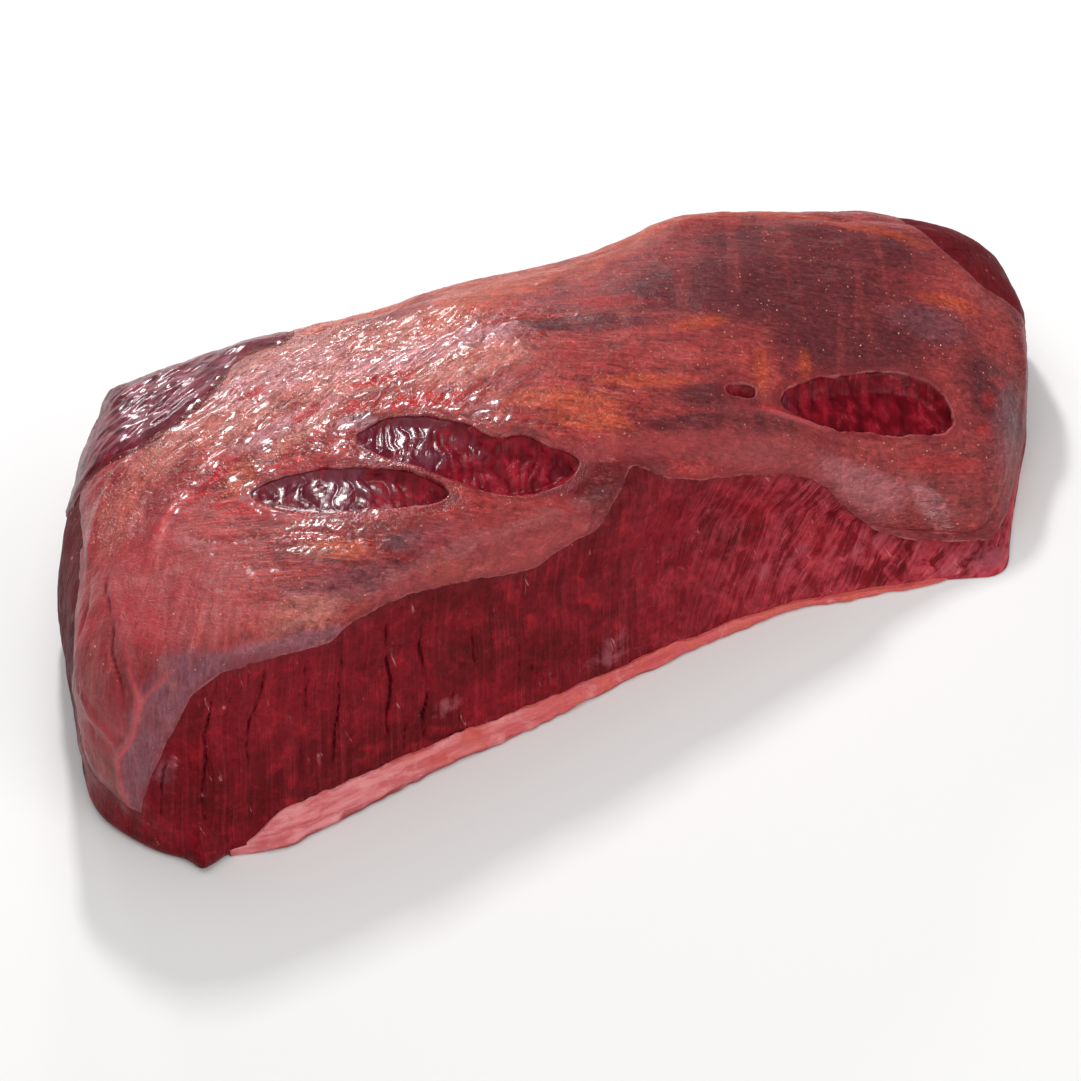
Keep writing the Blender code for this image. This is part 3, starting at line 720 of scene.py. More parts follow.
def leanMaterial():
    material, maker, shader = newMaterial("rawLean", specular=0.12)
    place = maker.place()
    x, y, z = maker.split(place)
    sweep = maker.field("sweep") * mm
    slant = maker.ease(x, -0.03, 0.04)
    side = maker.ease(y, -0.03, -0.06)
    up = maker.gather((x * side + y * (1 - side) - z * 0.2) * 1000, z * 24, side * 9)
    down = maker.gather(sweep * 1000, x * 110, side * 9 + y * (1 - side) * 200)

    def grain(size, detail, distortion=0.0):
        # streaks across the cut: upright on the left, slanting on the right
        upright, slanted = (maker.noise(grid, size, detail, 0.62, distortion) for grid in (up, down))
        return upright * (1 - slant) + slanted * slant

    coarse, fine, split = grain(0.32, 3.0), grain(1.0, 3.0), grain(0.24, 3.0, 0.5)
    broad = maker.noise(place, 30.0, 3.0, 0.6, 0.3)
    mottle = maker.noise(place, 120.0, 4.0, 0.62, 0.5)
    right = maker.ease(x, -0.05, 0.16)
    right = right * side
    cloud = maker.noise(place, 60.0, 4.0, 0.6, 0.4)
    colour = maker.tinted(
        maker.blend(maker.ease(broad, 0.38, 0.62), rgb(92, 4, 13), rgb(120, 12, 25)),
        (maker.ease(coarse, 0.5, 0.68) * 0.35, 138, 30, 42),
        (maker.ease(mottle, 0.5, 0.7) * 0.5, 148, 22, 33),
        (maker.ease(coarse, 0.42, 0.3) * 0.15, 74, 3, 10),
        # on the right half the cut face turns pinker and paler: partly its own pink fibres, partly painted sheen
        (right * maker.ease(mottle * 0.5 + coarse * 0.5, 0.42, 0.56) * 0.8, 176, 62, 74),
        (maker.ease(fine, 0.56, 0.7) * (right * 0.5 + 0.1), 180, 80, 92),
        (maker.ease(fine, 0.44, 0.32) * (right * 0.12 + 0.12), 66, 4, 10),
        (right * maker.ease(cloud, 0.5, 0.66) * 0.5, 148, 14, 24),
    )
    speck = maker.noise(place, 420.0, 3.0, 0.65, 0.4)
    # right * 0.2 brightens the right half: painted light on that side
    shade = 1.04 + right * 0.2 + (speck - 0.5) * 1.5 + (mottle - 0.5) * 0.7 + (fine - 0.5) * (0.5 + right * 0.9)
    colour = maker.scaled(colour, shade)
    hair = maker.ease(abs(split - 0.5), 0.012, 0.002) * maker.ease(mottle, 0.4, 0.58)
    film = maker.ease(maker.field("film") + (mottle - 0.5) * 1.3 + (coarse - 0.5) * 0.9, 0.5, 1.0)
    under = maker.ease(maker.field("bare") + (mottle - 0.5) * 10, -5.0, 0.5)
    crack = maker.field("crack")
    thread = maker.noise(maker.gather(x * 700 + y * 300, y * 200, z * 110), 0.9, 1.0, 0.5, 0.8)
    threads = maker.ease(thread, 0.7, 0.76) * maker.ease(mottle, 0.46, 0.62)
    colour = maker.tinted(
        colour,
        ((1 - side) * (maker.ease(mottle, 0.4, 0.6) * 0.3 + 0.4), 80, 6, 16),  # darker off the cut face
        (hair * 0.5, 52, 2, 8),  # hairline splits along the grain, painted dark as shade in them
        (film * 0.5, 160, 92, 104),  # silvery film over parts of the muscle, partly painted sheen
        (under * 0.4, 96, 30, 36),  # brown purple film just below the membrane's edge
        # painted shade: dark inside the cracks
        (maker.ease(crack, 0.15, 0.8) * 0.8, 46, 2, 8),
        (threads * 0.6, 204, 132, 136),  # short pale sinews
    )
    rough = maker.ease(mottle, 0.35, 0.7, 0.46, 0.3) + (1 - side) * 0.2
    height = (coarse - 0.5) * (0.0009 + right * 0.0008) + (fine - 0.5) * 0.0005 + (mottle - 0.5) * 0.001
    height = height + (speck - 0.5) * 0.0004 - maker.ease(crack, 0.1, 0.8) * 0.0008
    plug(maker, shader, Base_Color=colour, Roughness=rough, Normal=maker.bump(height))
    return material


openMuscle = {
    "step": 0.55,
    "margin": 2.4,
    "ridgeHeight": {"left": 0.6, "long": 0.45, "right": 0.3, "small": 0.4},
    "ridgeGap": {"left": 7.5, "long": 4.5, "right": 9.5, "small": 3.0},
    "ridgeSlant": {"left": 0.3, "long": 0.3, "right": 0.1, "small": 0.1},
    # from where to where along its length a window goes from shallow and filmy to deep and bare, 0 to 1
    "opening": {"left": (0.35, 0.95), "long": (0.22, 0.75), "right": (-0.1, 0.2), "small": (-1.0, -0.5)},
    "shallow": 0.3,
}


def makeOpenMuscle(surface):
    start, allPoints, allQuads, fields = 0, [], [], {"rib": [], "veil": [], "inside": [], "depth": []}
    for name, window in windows.items():
        outline = window["curve"]
        centre = (outline.min(0) + outline.max(0)) / 2
        _, _, axes = np.linalg.svd(outline - outline.mean(0), full_matrices=False)
        along = axes[0] if axes[0][0] > 0 else -axes[0]
        across = np.array([-along[1], along[0]])
        local = np.column_stack([(outline - centre) @ along, (outline - centre) @ across])
        low, high = local.min(0) - 4, local.max(0) + 4
        us = np.arange(low[0], high[0], openMuscle["step"])
        vs = np.arange(low[1], high[1], openMuscle["step"])
        u, v = (grid.ravel() for grid in np.meshgrid(us, vs, indexing="ij"))
        plan = centre + u[:, None] * along + v[:, None] * across
        heights = np.array([surface(px, py) for px, py in plan * mm]) / mm
        inside = outlineDistance(plan, outline)
        flat = np.column_stack([plan, np.zeros(len(plan))]) * mm
        share = (u - local[:, 0].min()) / np.ptp(local[:, 0])
        first, last = openMuscle["opening"][name]
        bare = smoothStep(first, last, share + noiseAt(flat, 9 * mm, 2.9) * 0.15)
        deep = openMuscle["shallow"] + (1 - openMuscle["shallow"]) * bare
        depth = window["depth"] * deep * smoothStep(-1.0, window["slope"], inside + noiseAt(flat, 5 * mm, 1.3) * 0.8)
        warp = noiseAt(flat, 14 * mm, 4.2) * 7 + noiseAt(flat, 6 * mm, 4.7) * 2.4
        warp = warp + v * openMuscle["ridgeSlant"][name]
        # round lobes with narrow grooves between them
        lobe = np.sqrt(abs(np.sin((u + warp) * np.pi / openMuscle["ridgeGap"][name])))
        rib = (lobe * 2 - 1.2) * (0.7 + 0.5 * noiseAt(flat, 9 * mm, 8.8))
        knot = noiseAt(flat, 5.5 * mm, 2.5) * 0.5 + noiseAt(flat, 1.8 * mm, 6.5) * 0.06
        height = openMuscle["ridgeHeight"][name]
        ridge = (rib * 0.7 + knot) * height * smoothStep(0.5, 4.0, inside)
        outside = np.clip(-inside, 0, 9)
        points = np.column_stack([plan, heights - 0.4 - depth + ridge - outside * 0.5]) * mm
        ids = np.arange(len(points)).reshape(len(us), len(vs))
        quads = np.stack([ids[:-1, :-1].ravel(), ids[1:, :-1].ravel(), ids[1:, 1:].ravel(), ids[:-1, 1:].ravel()], 1)
        quads = quads[(inside[quads] > -openMuscle["margin"]).all(1)]
        used, quads = np.unique(quads, return_inverse=True)
        allPoints.append(points[used])
        allQuads.append(quads.reshape(-1, 4) + start)
        start += len(used)
        for label, values in (("rib", rib), ("veil", 1 - bare), ("inside", inside), ("depth", depth)):
            fields[label].append(values[used])
    fields = {label: np.concatenate(values) for label, values in fields.items()}
    return makeMesh("openMuscle", np.concatenate(allPoints), np.concatenate(allQuads), fields)


def openMuscleMaterial():
    material, maker, shader = newMaterial("openMuscle", specular=0.12)
    place = maker.place()
    x, y, z = maker.split(place)
    rib, veil = maker.field("rib"), maker.field("veil")
    mottle = maker.noise(place, 160.0, 2.0, 0.5, 0.4)
    web = maker.noise(place, 100.0, 2.0, 0.5, 0.8)
    bars = maker.noise(maker.turned(x, y, z * 0, 65, 26.0, 420.0), 1.0, 3.0, 0.6, 0.3)
    colour = maker.blend(maker.ease(mottle, 0.35, 0.7), rgb(94, 6, 20), rgb(134, 20, 36))
    # purple film, thick where the window is shallow and in strings elsewhere
    film = maker.ease(veil + (web - 0.5) * 1.6 + rib * 0.1, 0.4, 1.0)
    strings = maker.ease(abs(web - 0.5), 0.016, 0.003) * maker.ease(mottle, 0.46, 0.62)
    colour = maker.tinted(
        # rib * 0.3 is painted light and shade: lighter on the lobes, darker in the grooves between them
        maker.scaled(colour, 1 + rib * 0.3 + (bars - 0.5) * 1.3),
        (film * 0.85, 84, 12, 32),
        (film * maker.ease(web + (bars - 0.5) * 0.6, 0.5, 0.72) * 0.25, 130, 60, 82),
        (strings * 0.4, 160, 74, 86),
    )
    rough = maker.ease(mottle, 0.3, 0.7, 0.28, 0.38) - film * 0.1
    height = (web - 0.5) * 0.0014 + (bars - 0.5) * 0.0003 + strings * 0.0001
    plug(maker, shader, Base_Color=colour, Roughness=rough, Normal=maker.bump(height), Coat_Weight=film * 0.22)
    return material


fatCap = {
    "x": (-230, 60, 200),
    "thickness": (17.2, 3.2, 1.2),
    "stations": (-0.80, 0.90),
    "lip": 1.2,
    "edgeWave": (1.6, 0.9),  # how far the upper edge wanders, slowly and quickly
    "ripple": 1.1,
    "tailTuck": 5 * mm,  # how far the thin right end runs in under the flesh
    "length": 370 * mm,
    "step": 1.1 * mm,
}


def ribPlan(station, across):
    front, back = (curveThrough([rib[i] for rib in meat["ribs"]], station) * mm for i in (0, 1))
    return front * (1 - across)[:, None] + back * across[:, None]


def makeFatCap():
    first, last = fatCap["stations"]
    aSteps = np.linspace(-1, 1, int(fatCap["length"] / fatCap["step"]))
    bSteps = np.concatenate([np.linspace(-1, -0.94, 8), np.linspace(-0.9, 0.9, 13), np.linspace(0.94, 1, 8)])
    cSteps = np.linspace(-1, 1, 17)
    abc, quads = boxGrid(aSteps, bSteps, cSteps)
    a, b, c = abc.T
    station, across = roundCorners(first + (last - first) * (a + 1) / 2, b.copy())
    plan = ribPlan(station, (across + 1) / 2)
    up = (c + 1) / 2
    thick = np.interp(plan[:, 0] / mm, fatCap["x"], fatCap["thickness"])
    # the upper edge wanders, and the start of the strip tapers to a tongue
    along = np.column_stack([plan[:, 0], b * 0.02, 0 * b])
    slow, quick = fatCap["edgeWave"]
    wander = noiseAt(along, 14 * mm, 2.2) * slow + noiseAt(along, 4 * mm, 5.2) * quick
    rim = abs(b) ** 24
    taper = (smoothStep(-1.0, -0.84, a) * 0.8 + 0.2) * (1 - 0.6 * smoothStep(0.6, 1.0, a))
    top = (thick * taper + wander * rim * np.clip(thick / 6, 0.25, 1)) * mm
    z = np.maximum(top, 0.8 * mm) * up
    bulge = np.sqrt(np.clip(1 - (1.25 * up - 0.5) ** 2, 0, 1))
    ripple = noiseAt(np.column_stack([plan[:, 0], z * 1.5, b * 0.02]), 6 * mm, 7.7) * fatCap["ripple"]
    lip = (fatCap["lip"] * bulge * (0.6 + 0.4 * taper) + ripple * bulge) * mm
    fade = np.where(a > 0, smoothStep(1.0, 0.7, a) * 1.54 - 0.54, smoothStep(1.0, 0.93, -a))
    slope = meat["leans"]["front"] * z / (0.64 * 75 * mm)
    low = 1 - np.clip(z / meat["foot"], 0, 1)
    tuck = meat["foot"] * (1 - np.sqrt(1 - low**2)) * 0.5
    forward = slope + tuck - lip * (0.35 + 0.65 * fade)
    plan[:, 1] += np.where(b < 0, forward, -slope * 0.5 - tuck * 1.6 + lip * 0.1) * rim
    plan[:, 1] += np.where(b < 0, 1, -1) * smoothStep(0.88, 1.0, a) * fatCap["tailTuck"] * rim
    points = withOutline(np.column_stack([plan, z]))
    fields = {"up": up, "station": a}
    return makeMesh("fatCap", points, quads, fields)


def fatMaterial():
    material, maker, shader = newMaterial("paleFat", specular=0.35, subsurface=0.2, radius=(0.004, 0.002, 0.0015))
    place = maker.place()
    x, y, z = maker.split(place)
    up, station = maker.field("up"), maker.field("station")
    streak = maker.noise(maker.gather(x * 40, y * 200, z * 300), 1.0, 4.0, 0.62, 0.6)
    mottle = maker.noise(place, 100.0, 4.0, 0.6, 0.4)
    redder = maker.ease(station + (mottle - 0.5) * 0.9, -0.75, 0.0)
    colour = maker.tinted(
        maker.blend(maker.ease(streak, 0.35, 0.65), rgb(200, 92, 98), rgb(226, 138, 140)),
        (redder * 0.8, 202, 70, 72),
        (redder * maker.ease(mottle, 0.46, 0.6) * 0.5, 216, 112, 84),
        (maker.ease(mottle, 0.54, 0.7) * 0.5, 184, 46, 54),
        (maker.ease(mottle, 0.44, 0.3) * 0.4, 236, 160, 150),
        (maker.ease(up + (streak - 0.5) * 0.5, 0.3, 0.04) * 0.9, 122, 24, 34),  # dark along the foot
    )
    height = (streak - 0.5) * 0.0016 + (mottle - 0.5) * 0.0014
    rough = maker.ease(mottle, 0.3, 0.7, 0.34, 0.5)
    plug(maker, shader, Base_Color=colour, Roughness=rough, Normal=maker.bump(height))
    return material


# the membrane's three grain directions: attribute and turn in degrees
grains = (("layMain", -24), ("layUpper", 25), ("layEnd", 58))

membrane = {
    "step": 1.36 * mm,
    "thickness": 1.2,
    "edgeThickness": 0.35,
    "lipDepth": 1.9,
    "relief": {"Wrinkle Height": 0.0030, "Crumple Height": 0.0012, "Lump Height": 0.0016, "Seed": 0.4},
    # ridges and creases: places (x, y, z), width and height
    "ridges": [
        (
            [
                (-215, -89, 16), (-216, -84, 28), (-215, -81, 38), (-211, -82, 46), (-207, -83, 56), (-204, -81, 67),
                (-204, -75, 73),
            ], 1.7, 2.2,
        ),
        ([(-204, -75, 73), (-202, -66, 76), (-200, -50, 76), (-197, -36, 77)], 2.2, 1.4),
        ([(-206, -83, 60), (-202, -83, 68), (-194, -83, 74), (-183, -80, 80)], 1.8, 1.5),
        ([(-222, -62, 60), (-219, -72, 52), (-214, -80, 44)], 2.2, 1.3),
        (
            [
                (44, -45, 78), (60, -49, 73), (71, -53, 69), (88, -57.5, 60), (104, -61, 51), (114, -62, 48),
                (129, -62, 46),
            ], 1.5, 2.0,
        ),
        ([(-187, -5, 76), (-166, 12, 79), (-143, 25, 81), (-130, 26, 83)], 2.6, 1.2),
        ([(-200, -12, 70), (-185, 13, 72), (-170, 28, 74)], 2.4, 1.1),
        ([(-182, -33, 81), (-171, -17, 82), (-149, 0, 84), (-129, 7, 86)], 2.4, 1.1),
        ([(-192, -22, 78), (-178, -4, 79), (-158, 12, 81), (-140, 15, 83)], 1.8, 0.9),
    ],
    "creases": [
        (
            [
                (-196, -7, 71), (-197, -24, 75), (-200, -36, 75), (-201, -46, 76), (-203, -56, 76), (-207, -63, 74),
                (-208, -74, 70), (-209, -80, 62),
            ], 0.9, 1.2,
        ),
        ([(-168, -27, 84), (-162, -36, 86), (-152, -43, 87), (-142, -44, 88)], 0.8, 1.2),
        ([(-129, 48, 77), (-119, 46, 79), (-104, 46, 80)], 0.8, 0.9),
        ([(-88, 35, 85), (-79, 43, 83), (-71, 50, 82)], 0.8, 0.9),
        ([(-177, 3, 78), (-172, 9, 78), (-165, 14, 78)], 0.9, 1.0),
        ([(-196, 22, 58), (-201, -10, 68), (-206, -32, 70), (-214, -45, 65)], 0.9, 1.1),
        ([(-175, 25, 73), (-184, 11, 74), (-191, -3, 74)], 0.8, 0.9),
        ([(-168, -32, 84), (-155, -41, 87), (-142, -46, 88)], 0.8, 1.3),
        ([(-204, -84, 68), (-208, -86, 55), (-212, -86, 45), (-212, -86, 34)], 0.7, 0.9),
        ([(-221, -58, 62), (-219, -66, 52), (-220, -74, 40)], 0.7, 0.8),
        ([(-194, -8, 73), (-176, 8, 76), (-160, 22, 78)], 0.9, 1.0),
        ([(-186, -28, 80), (-175, -12, 81), (-156, 3, 83)], 0.9, 0.9),
    ],
    # the smooth flap that lies over the rest, in the plan
    "flap": [
        (-86, -34), (-73, -46), (-61, -55), (-44, -65), (-37, -68), (-23, -72), (-12, -74), (-14, -96),
        (-90, -100), (-112, -78), (-112, -56),
    ],
    "flapStep": 1.0,
    # lilac film at the left of the cut face, seen from the front (x, z)
    "film": [
        (-212, 17), (-206, 31), (-197, 49), (-187, 65), (-175, 71), (-157, 70), (-136, 67), (-124, 71), (-138, 77),
        (-165, 80), (-184, 81), (-195, 77), (-206, 64), (-211, 47), (-215, 33), (-216, 22),
    ],
}

# where each tint lies: (x, y, half length, half width, turn) and for walls also the height and its reach
tints = {
    "orange": [
        (5, 58, 32, 14, 14), (47, 62, 31, 12, 18), (92, 72, 26, 6, -12), (128, 63, 24, 4.5, -27),
        (155, 42, 18, 4, -40), (-15, -27, 22, 6, -21), (-28, 45, 18, 7, 16), (171, -10, 14, 4, -19),
        (172, 28, 10, 4, -48), (69, -33, 14, 3, 61), (89, -33, 11, 2.6, 60), (-85, -80, 11, 3, 2),
        (-140, -13, 10, 6, 60), (-8, -40, 16, 5, -23), (56, -4, 12, 4, -3), (-122, -64, 12, 5, -22),
        (22, -27, 20, 3.5, -13), (-55, 72, 26, 8, 4), (14, 84, 40, 8, 10), (-177, 5, 12, 3, 50),
        (-8, 62, 26, 13, 12), (70, 72, 26, 8, 0),
    ],
    "tan": [
        (-91, 42, 36, 24, 11), (-52, 40, 30, 16, -2), (-160, 20, 20, 10, 34), (-186, -4, 22, 8, 60),
        (-144, -82, 16, 5, -1), (-40, 8, 26, 12, -6), (-96, 74, 24, 10, 4), (-128, 26, 22, 14, 20),
        (-80, 16, 24, 8, -6), (-110, 0, 20, 5, 20),
    ],
    "red": [
        (-137, -31, 18, 4, -43), (-62, -8, 16, 4, -13), (-119, 32, 8, 3, 20), (166, -54, 5, 3, 46),
        (176, -46, 5, 3, 20), (158, -66, 5, 3, 0), (132, -72, 16, 3, -14), (-118, -19, 14, 3.5, -24),
        (-70, 13, 14, 4, -4), (36, -66, 34, 3, -3), (-172, -20, 12, 3, 50), (30, 22, 18, 4, -25),
        (-150, -8, 14, 4, 30), (-104, 8, 10, 3, 25), (-88, 2, 8, 3, 20), (-145, -29, 14, 3, -45),
        (80, -52, 26, 2, -12),
    ],
    "purple": [
        (102, 11, 50, 26, -10), (160, 22, 22, 14, -12), (156, -20, 16, 10, -23), (117, -21, 34, 16, -7),
        (58, 18, 26, 14, -10), (120, 40, 40, 12, -14), (-95, -70, 10, 4, -6), (-221, -66, 10, 24, 0, 46, 22),
        (-182, -87, 16, 5, -3, 73, 7), (-205, -90, 9, 8, 0, 42, 14), (47, -41, 18, 6, -14), (40, -52, 30, 5, -10),
        (-88, -8, 9, 4, -30), (170, -50, 14, 16, 60), (14, 12, 26, 5, -20),
    ],
    "grey": [
        (156, -18, 17, 10, -22), (-96, -70, 9, 3.4, -6), (-221, -66, 8, 16, 0, 44, 16),
        (-186, -87, 13, 4, -5, 70, 8), (170, -62, 20, 6, 46), (-84, -72, 16, 6, -4), (-206, -90, 8, 8, 0, 38, 12),
        (-120, -78, 26, 5, -4), (-214, -96, 6, 10, 0, 22, 12),
    ],
    # pale lilac film, partly painted sheen where the wet film shines
    "lilac": [
        (98, -71, 20, 4, -16), (124, -79, 9, 3, -35), (-86, -11, 14, 4, -30), (-112, 6, 24, 5, 10),
        (-60, 24, 30, 8, -8), (-104, 40, 30, 12, 10), (-30, 22, 22, 6, -10),
    ],
    "smooth": [
        (-62, -75, 33, 9, -6), (-37, -73, 18, 6, -2), (-90, -82, 24, 5, 5), (-195, -47, 26, 16, -88),
        (20, -57, 60, 6, -8), (-215, -70, 10, 20, 0, 50, 22),
    ],
    "wet": [
        (-112, -4, 62, 30, -10), (-152, 56, 34, 22, 79), (-70, -10, 36, 18, -9), (-108, -38, 34, 13, -26),
        (-45, -30, 24, 9, -33), (-78, 14, 44, 24, -3), (-118, -60, 30, 8, -22), (-92, 40, 40, 18, 8),
        (-30, 26, 34, 14, -8), (-172, 14, 18, 14, 50), (128, -83, 10, 3, -38),
    ],
    "sheer": [(-40, -58, 14, 6, -30), (-12, -62, 14, 9, -20), (4, -60, 10, 9, 0), (-20, -68, 12, 5, -10)],
}


def layWeights(points):
    # how much each of the three grain directions counts at a place
    x, y, _ = (points / mm).T
    end = smoothStep(-150, -195, x + y * 0.2)
    upper = smoothStep(-22, 8, y + (x + 100) * 0.25) * smoothStep(10, -45, x) * (1 - end)
    return np.column_stack([1 - end - upper, upper, end])


def clipMesh(points, triangles, field, values):
    # keeps the part where field is more than 0, cut cleanly along 0
    # gives points, triangles, values and the cut's edges
    inside = field > 0
    count = inside[triangles].sum(1)
    whole = triangles[count == 3]
    cut = triangles[(count == 1) | (count == 2)]
    lone = inside[cut].sum(1) == 1
    odd = np.where(lone[:, None], inside[cut], ~inside[cut]).argmax(1)
    rows = np.arange(len(cut))
    one, two, three = (cut[rows, (odd + i) % 3] for i in range(3))
    pairs = np.concatenate([np.sort(np.stack([one, two], 1)), np.sort(np.stack([one, three], 1))])
    unique, back = np.unique(pairs, axis=0, return_inverse=True)
    back = back.ravel() + len(points)
    onTwo, onThree = back[: len(cut)], back[len(cut) :]
    low, high = unique[:, 0], unique[:, 1]
    share = (field[low] / (field[low] - field[high]))[:, None]
    points = np.concatenate([points, points[low] * (1 - share) + points[high] * share])
    for label, data in values.items():
        weight = share if data.ndim == 2 else share[:, 0]
        values[label] = np.concatenate([data, data[low] * (1 - weight) + data[high] * weight])
    tips = np.stack([one, onTwo, onThree], 1)[lone]
    wide = ~lone
    halves = [np.stack([onTwo, two, three], 1)[wide], np.stack([onTwo, three, onThree], 1)[wide]]
    triangles = np.concatenate([whole, tips, *halves])
    rim = np.concatenate([np.stack([onTwo, onThree], 1)[lone], np.stack([onThree, onTwo], 1)[wide]])
    used, order = np.unique(triangles, return_inverse=True)
    renumber = np.full(len(points), -1)
    renumber[used] = np.arange(len(used))
    values = {label: data[used] for label, data in values.items()}
    return points[used], order.reshape(-1, 3), values, renumber[rim]


def membraneReliefTree():
    maker, wires, close = geometryTree("membraneRelief", ("Wrinkle Height", "Crumple Height", "Lump Height", "Seed"))
    x, y, z = maker.split(maker.place())
    seed = wires["Seed"]
    wrinkle = 0.0
    for label, turn in grains:
        coordinates = maker.turned(x, y, z + seed, turn, 45.0, 230.0)
        wrinkle = wrinkle + maker.noise(coordinates, 1.0, 3.0, 0.55, 0.7) * maker.field(label)
    wet, smooth = maker.field("wet"), maker.field("smooth")
    wrinkle = (wrinkle - 0.5) * wires["Wrinkle Height"] * (0.35 + wet * 0.65) * (1 - smooth * 0.85)
    crumple = (maker.noise(maker.place(), 330.0, 2.0, 0.55, 0.8) - 0.5) * wires["Crumple Height"]
    crumple = crumple * wet * (1 - smooth * 0.9)
    lump = (maker.noise(maker.place(), 80.0, 2.0, 0.5, 0.3) - 0.5) * wires["Lump Height"]
    lift = (wrinkle + crumple + lump) * maker.ease(abs(maker.field("inside")), 0.0, 5.0, 0.35, 1.0)
    return close(maker.raised(wires["Geometry"], lift))


def lineRelief(spots, lines, floor):
    # for each line its height at every spot: highest on the line, less towards its ends
    for places, width, height in lines:
        gap, along = lineDistance(spots, smoothLine(places, 4))
        yield height * np.exp(-((gap / width) ** 2)) * np.sqrt(np.clip(6 * along * (1 - along) + floor, 0, 1))


def makeMembraneBase():
    step = membrane["step"]
    rows = int(round(43 * mm / step))

    def even(place):
        return np.full(len(place), step)

    halves = (meat["halfLength"], meat["halfWidth"])
    aSteps, bSteps = (shoulderSteps(half, (rows, rows), innerSpacing(half, even)) for half in halves)
    cSteps = np.linspace(-1, 1, int(round(52 * mm / step)) + 1)
    abc, quads = boxGrid(aSteps, bSteps, cSteps, withFloor=False)
    points = meatPoints(abc)
    points = withSwells(points, surfaceNormals(points, quads))
    normals = surfaceNormals(points, quads)
    inside = membraneField(points)
    thin, full = membrane["edgeThickness"], membrane["thickness"]
    thickness = thin + (full - thin) * smoothStep(0, 5, inside)
    spots = points / mm
    hole = np.full(len(points), 60.0)
    for window in windows.values():
        hole = np.minimum(hole, -outlineDistance(spots[:, :2], window["curve"]))
    corner = np.minimum(*(-outlineDistance(spots[:, :2], corners[name]) for name in corners))
    thickness *= 1 - 0.6 * smoothStep(14, 4, corner)
    ridge = sum(lineRelief(spots, membrane["ridges"], 0.15))
    crease = np.max(list(lineRelief(spots, membrane["creases"], 0.0)), axis=0)
    flap = outlineDistance(spots[:, :2], smoothLine(membrane["flap"], 4, closed=True))
    flap = flap + noiseAt(points, 5 * mm) * 0.6
    flapRise = membrane["flapStep"] * smoothStep(-0.4, 0.5, flap) * smoothStep(-30, 0, -abs(flap) + 12)
    lift = thickness + np.minimum(ridge, 2.8) - crease + flapRise
    cornerInside = cornerField(points)
    lift += smoothStep(0, 4, cornerInside) * smoothStep(2, -2, inside) * 0.9
    points = withOutline(points + normals * (lift * mm)[:, None])
    fields = {label: patches(points, blobs) for label, blobs in tints.items()}
    film = outlineDistance(spots[:, [0, 2]], smoothLine(membrane["film"], 4, closed=True))
    film = film + noiseAt(points, 6 * mm, 2.2) * 0.8
    fields["film"] = smoothStep(-1.2, 1.6, film) * smoothStep(-62, -76, spots[:, 1])
    fields.update(inside=inside, corner=cornerInside, hole=hole, ridge=ridge, crease=crease)
    fields.update(zip((label for label, _ in grains), layWeights(points).T))
    return makeMesh("membraneBase", points, quads, fields), fields


def trimSheet(mesh, labels, key):
    # keeps a sheet where the field of that name is more than 0, and turns its rim down into the muscle
    points = np.empty(len(mesh.vertices) * 3, np.float32)
    mesh.vertices.foreach_get("co", points)
    points = points.reshape(-1, 3).astype(float)
    quads = np.empty(len(mesh.polygons) * 4, np.int32)
    mesh.polygons.foreach_get("vertices", quads)
    quads = quads.reshape(-1, 4)
    values = {}
    for label in labels:
        data = np.empty(len(points), np.float32)
        mesh.attributes[label].data.foreach_get("value", data)
        values[label] = data.astype(float)
    triangles = np.concatenate([quads[:, [0, 1, 2]], quads[:, [0, 2, 3]]])
    values["normalX"], values["normalY"], values["normalZ"] = surfaceNormals(points, triangles).T
    points, triangles, values, rim = clipMesh(points, triangles, values[key], values)
    normals = np.column_stack([values.pop(key) for key in ("normalX", "normalY", "normalZ")])
    edge = np.unique(rim)
    lowered = np.full(len(points), -1)
    lowered[edge] = len(points) + np.arange(len(edge))
    ring = points[edge] - normals[edge] * membrane["lipDepth"] * mm
    ring[:, 2] = np.maximum(ring[:, 2], 1 * mm)
    points = np.concatenate([points, ring])
    values = {label: np.concatenate([data, data[edge]]) for label, data in values.items()}
    p, q = rim.T
    skirt = np.concatenate([np.stack([q, p, lowered[p]], 1), np.stack([q, lowered[p], lowered[q]], 1)])
    return makeMesh(key + "Sheet", points, np.concatenate([triangles, skirt]), values)


def cornerMaterial():
    material, maker, shader = newMaterial("cornerFilm", specular=0.06)
    place = maker.place()
    x, y, z = maker.split(place)
    mottle = maker.noise(place, 110.0, 4.0, 0.62, 0.6)
    folds = maker.noise(maker.turned(x, y, z * 0.6, 35, 70.0, 210.0), 1.0, 4.0, 0.6, 1.2)
    colour = maker.tinted(
        maker.blend(maker.ease(mottle, 0.38, 0.64), rgb(82, 8, 26), rgb(122, 30, 48)),
        (maker.ease(folds, 0.52, 0.66) * 0.45, 164, 96, 112),
        # painted shade: thin dark lines along the folds
        (maker.ease(abs(folds - 0.46), 0.03, 0.004) * 0.6, 60, 4, 16),
        (maker.ease(z + (mottle - 0.5) * 0.03, 0.04, 0.02) * 0.6, 74, 6, 18),
    )
    rough = maker.ease(mottle, 0.3, 0.7, 0.5, 0.34)
    plug(maker, shader, Base_Color=colour, Roughness=rough, Normal=maker.bump((folds - 0.5) * 0.0012))
    shader.inputs["Coat Weight"].default_value = 0.38
    return material


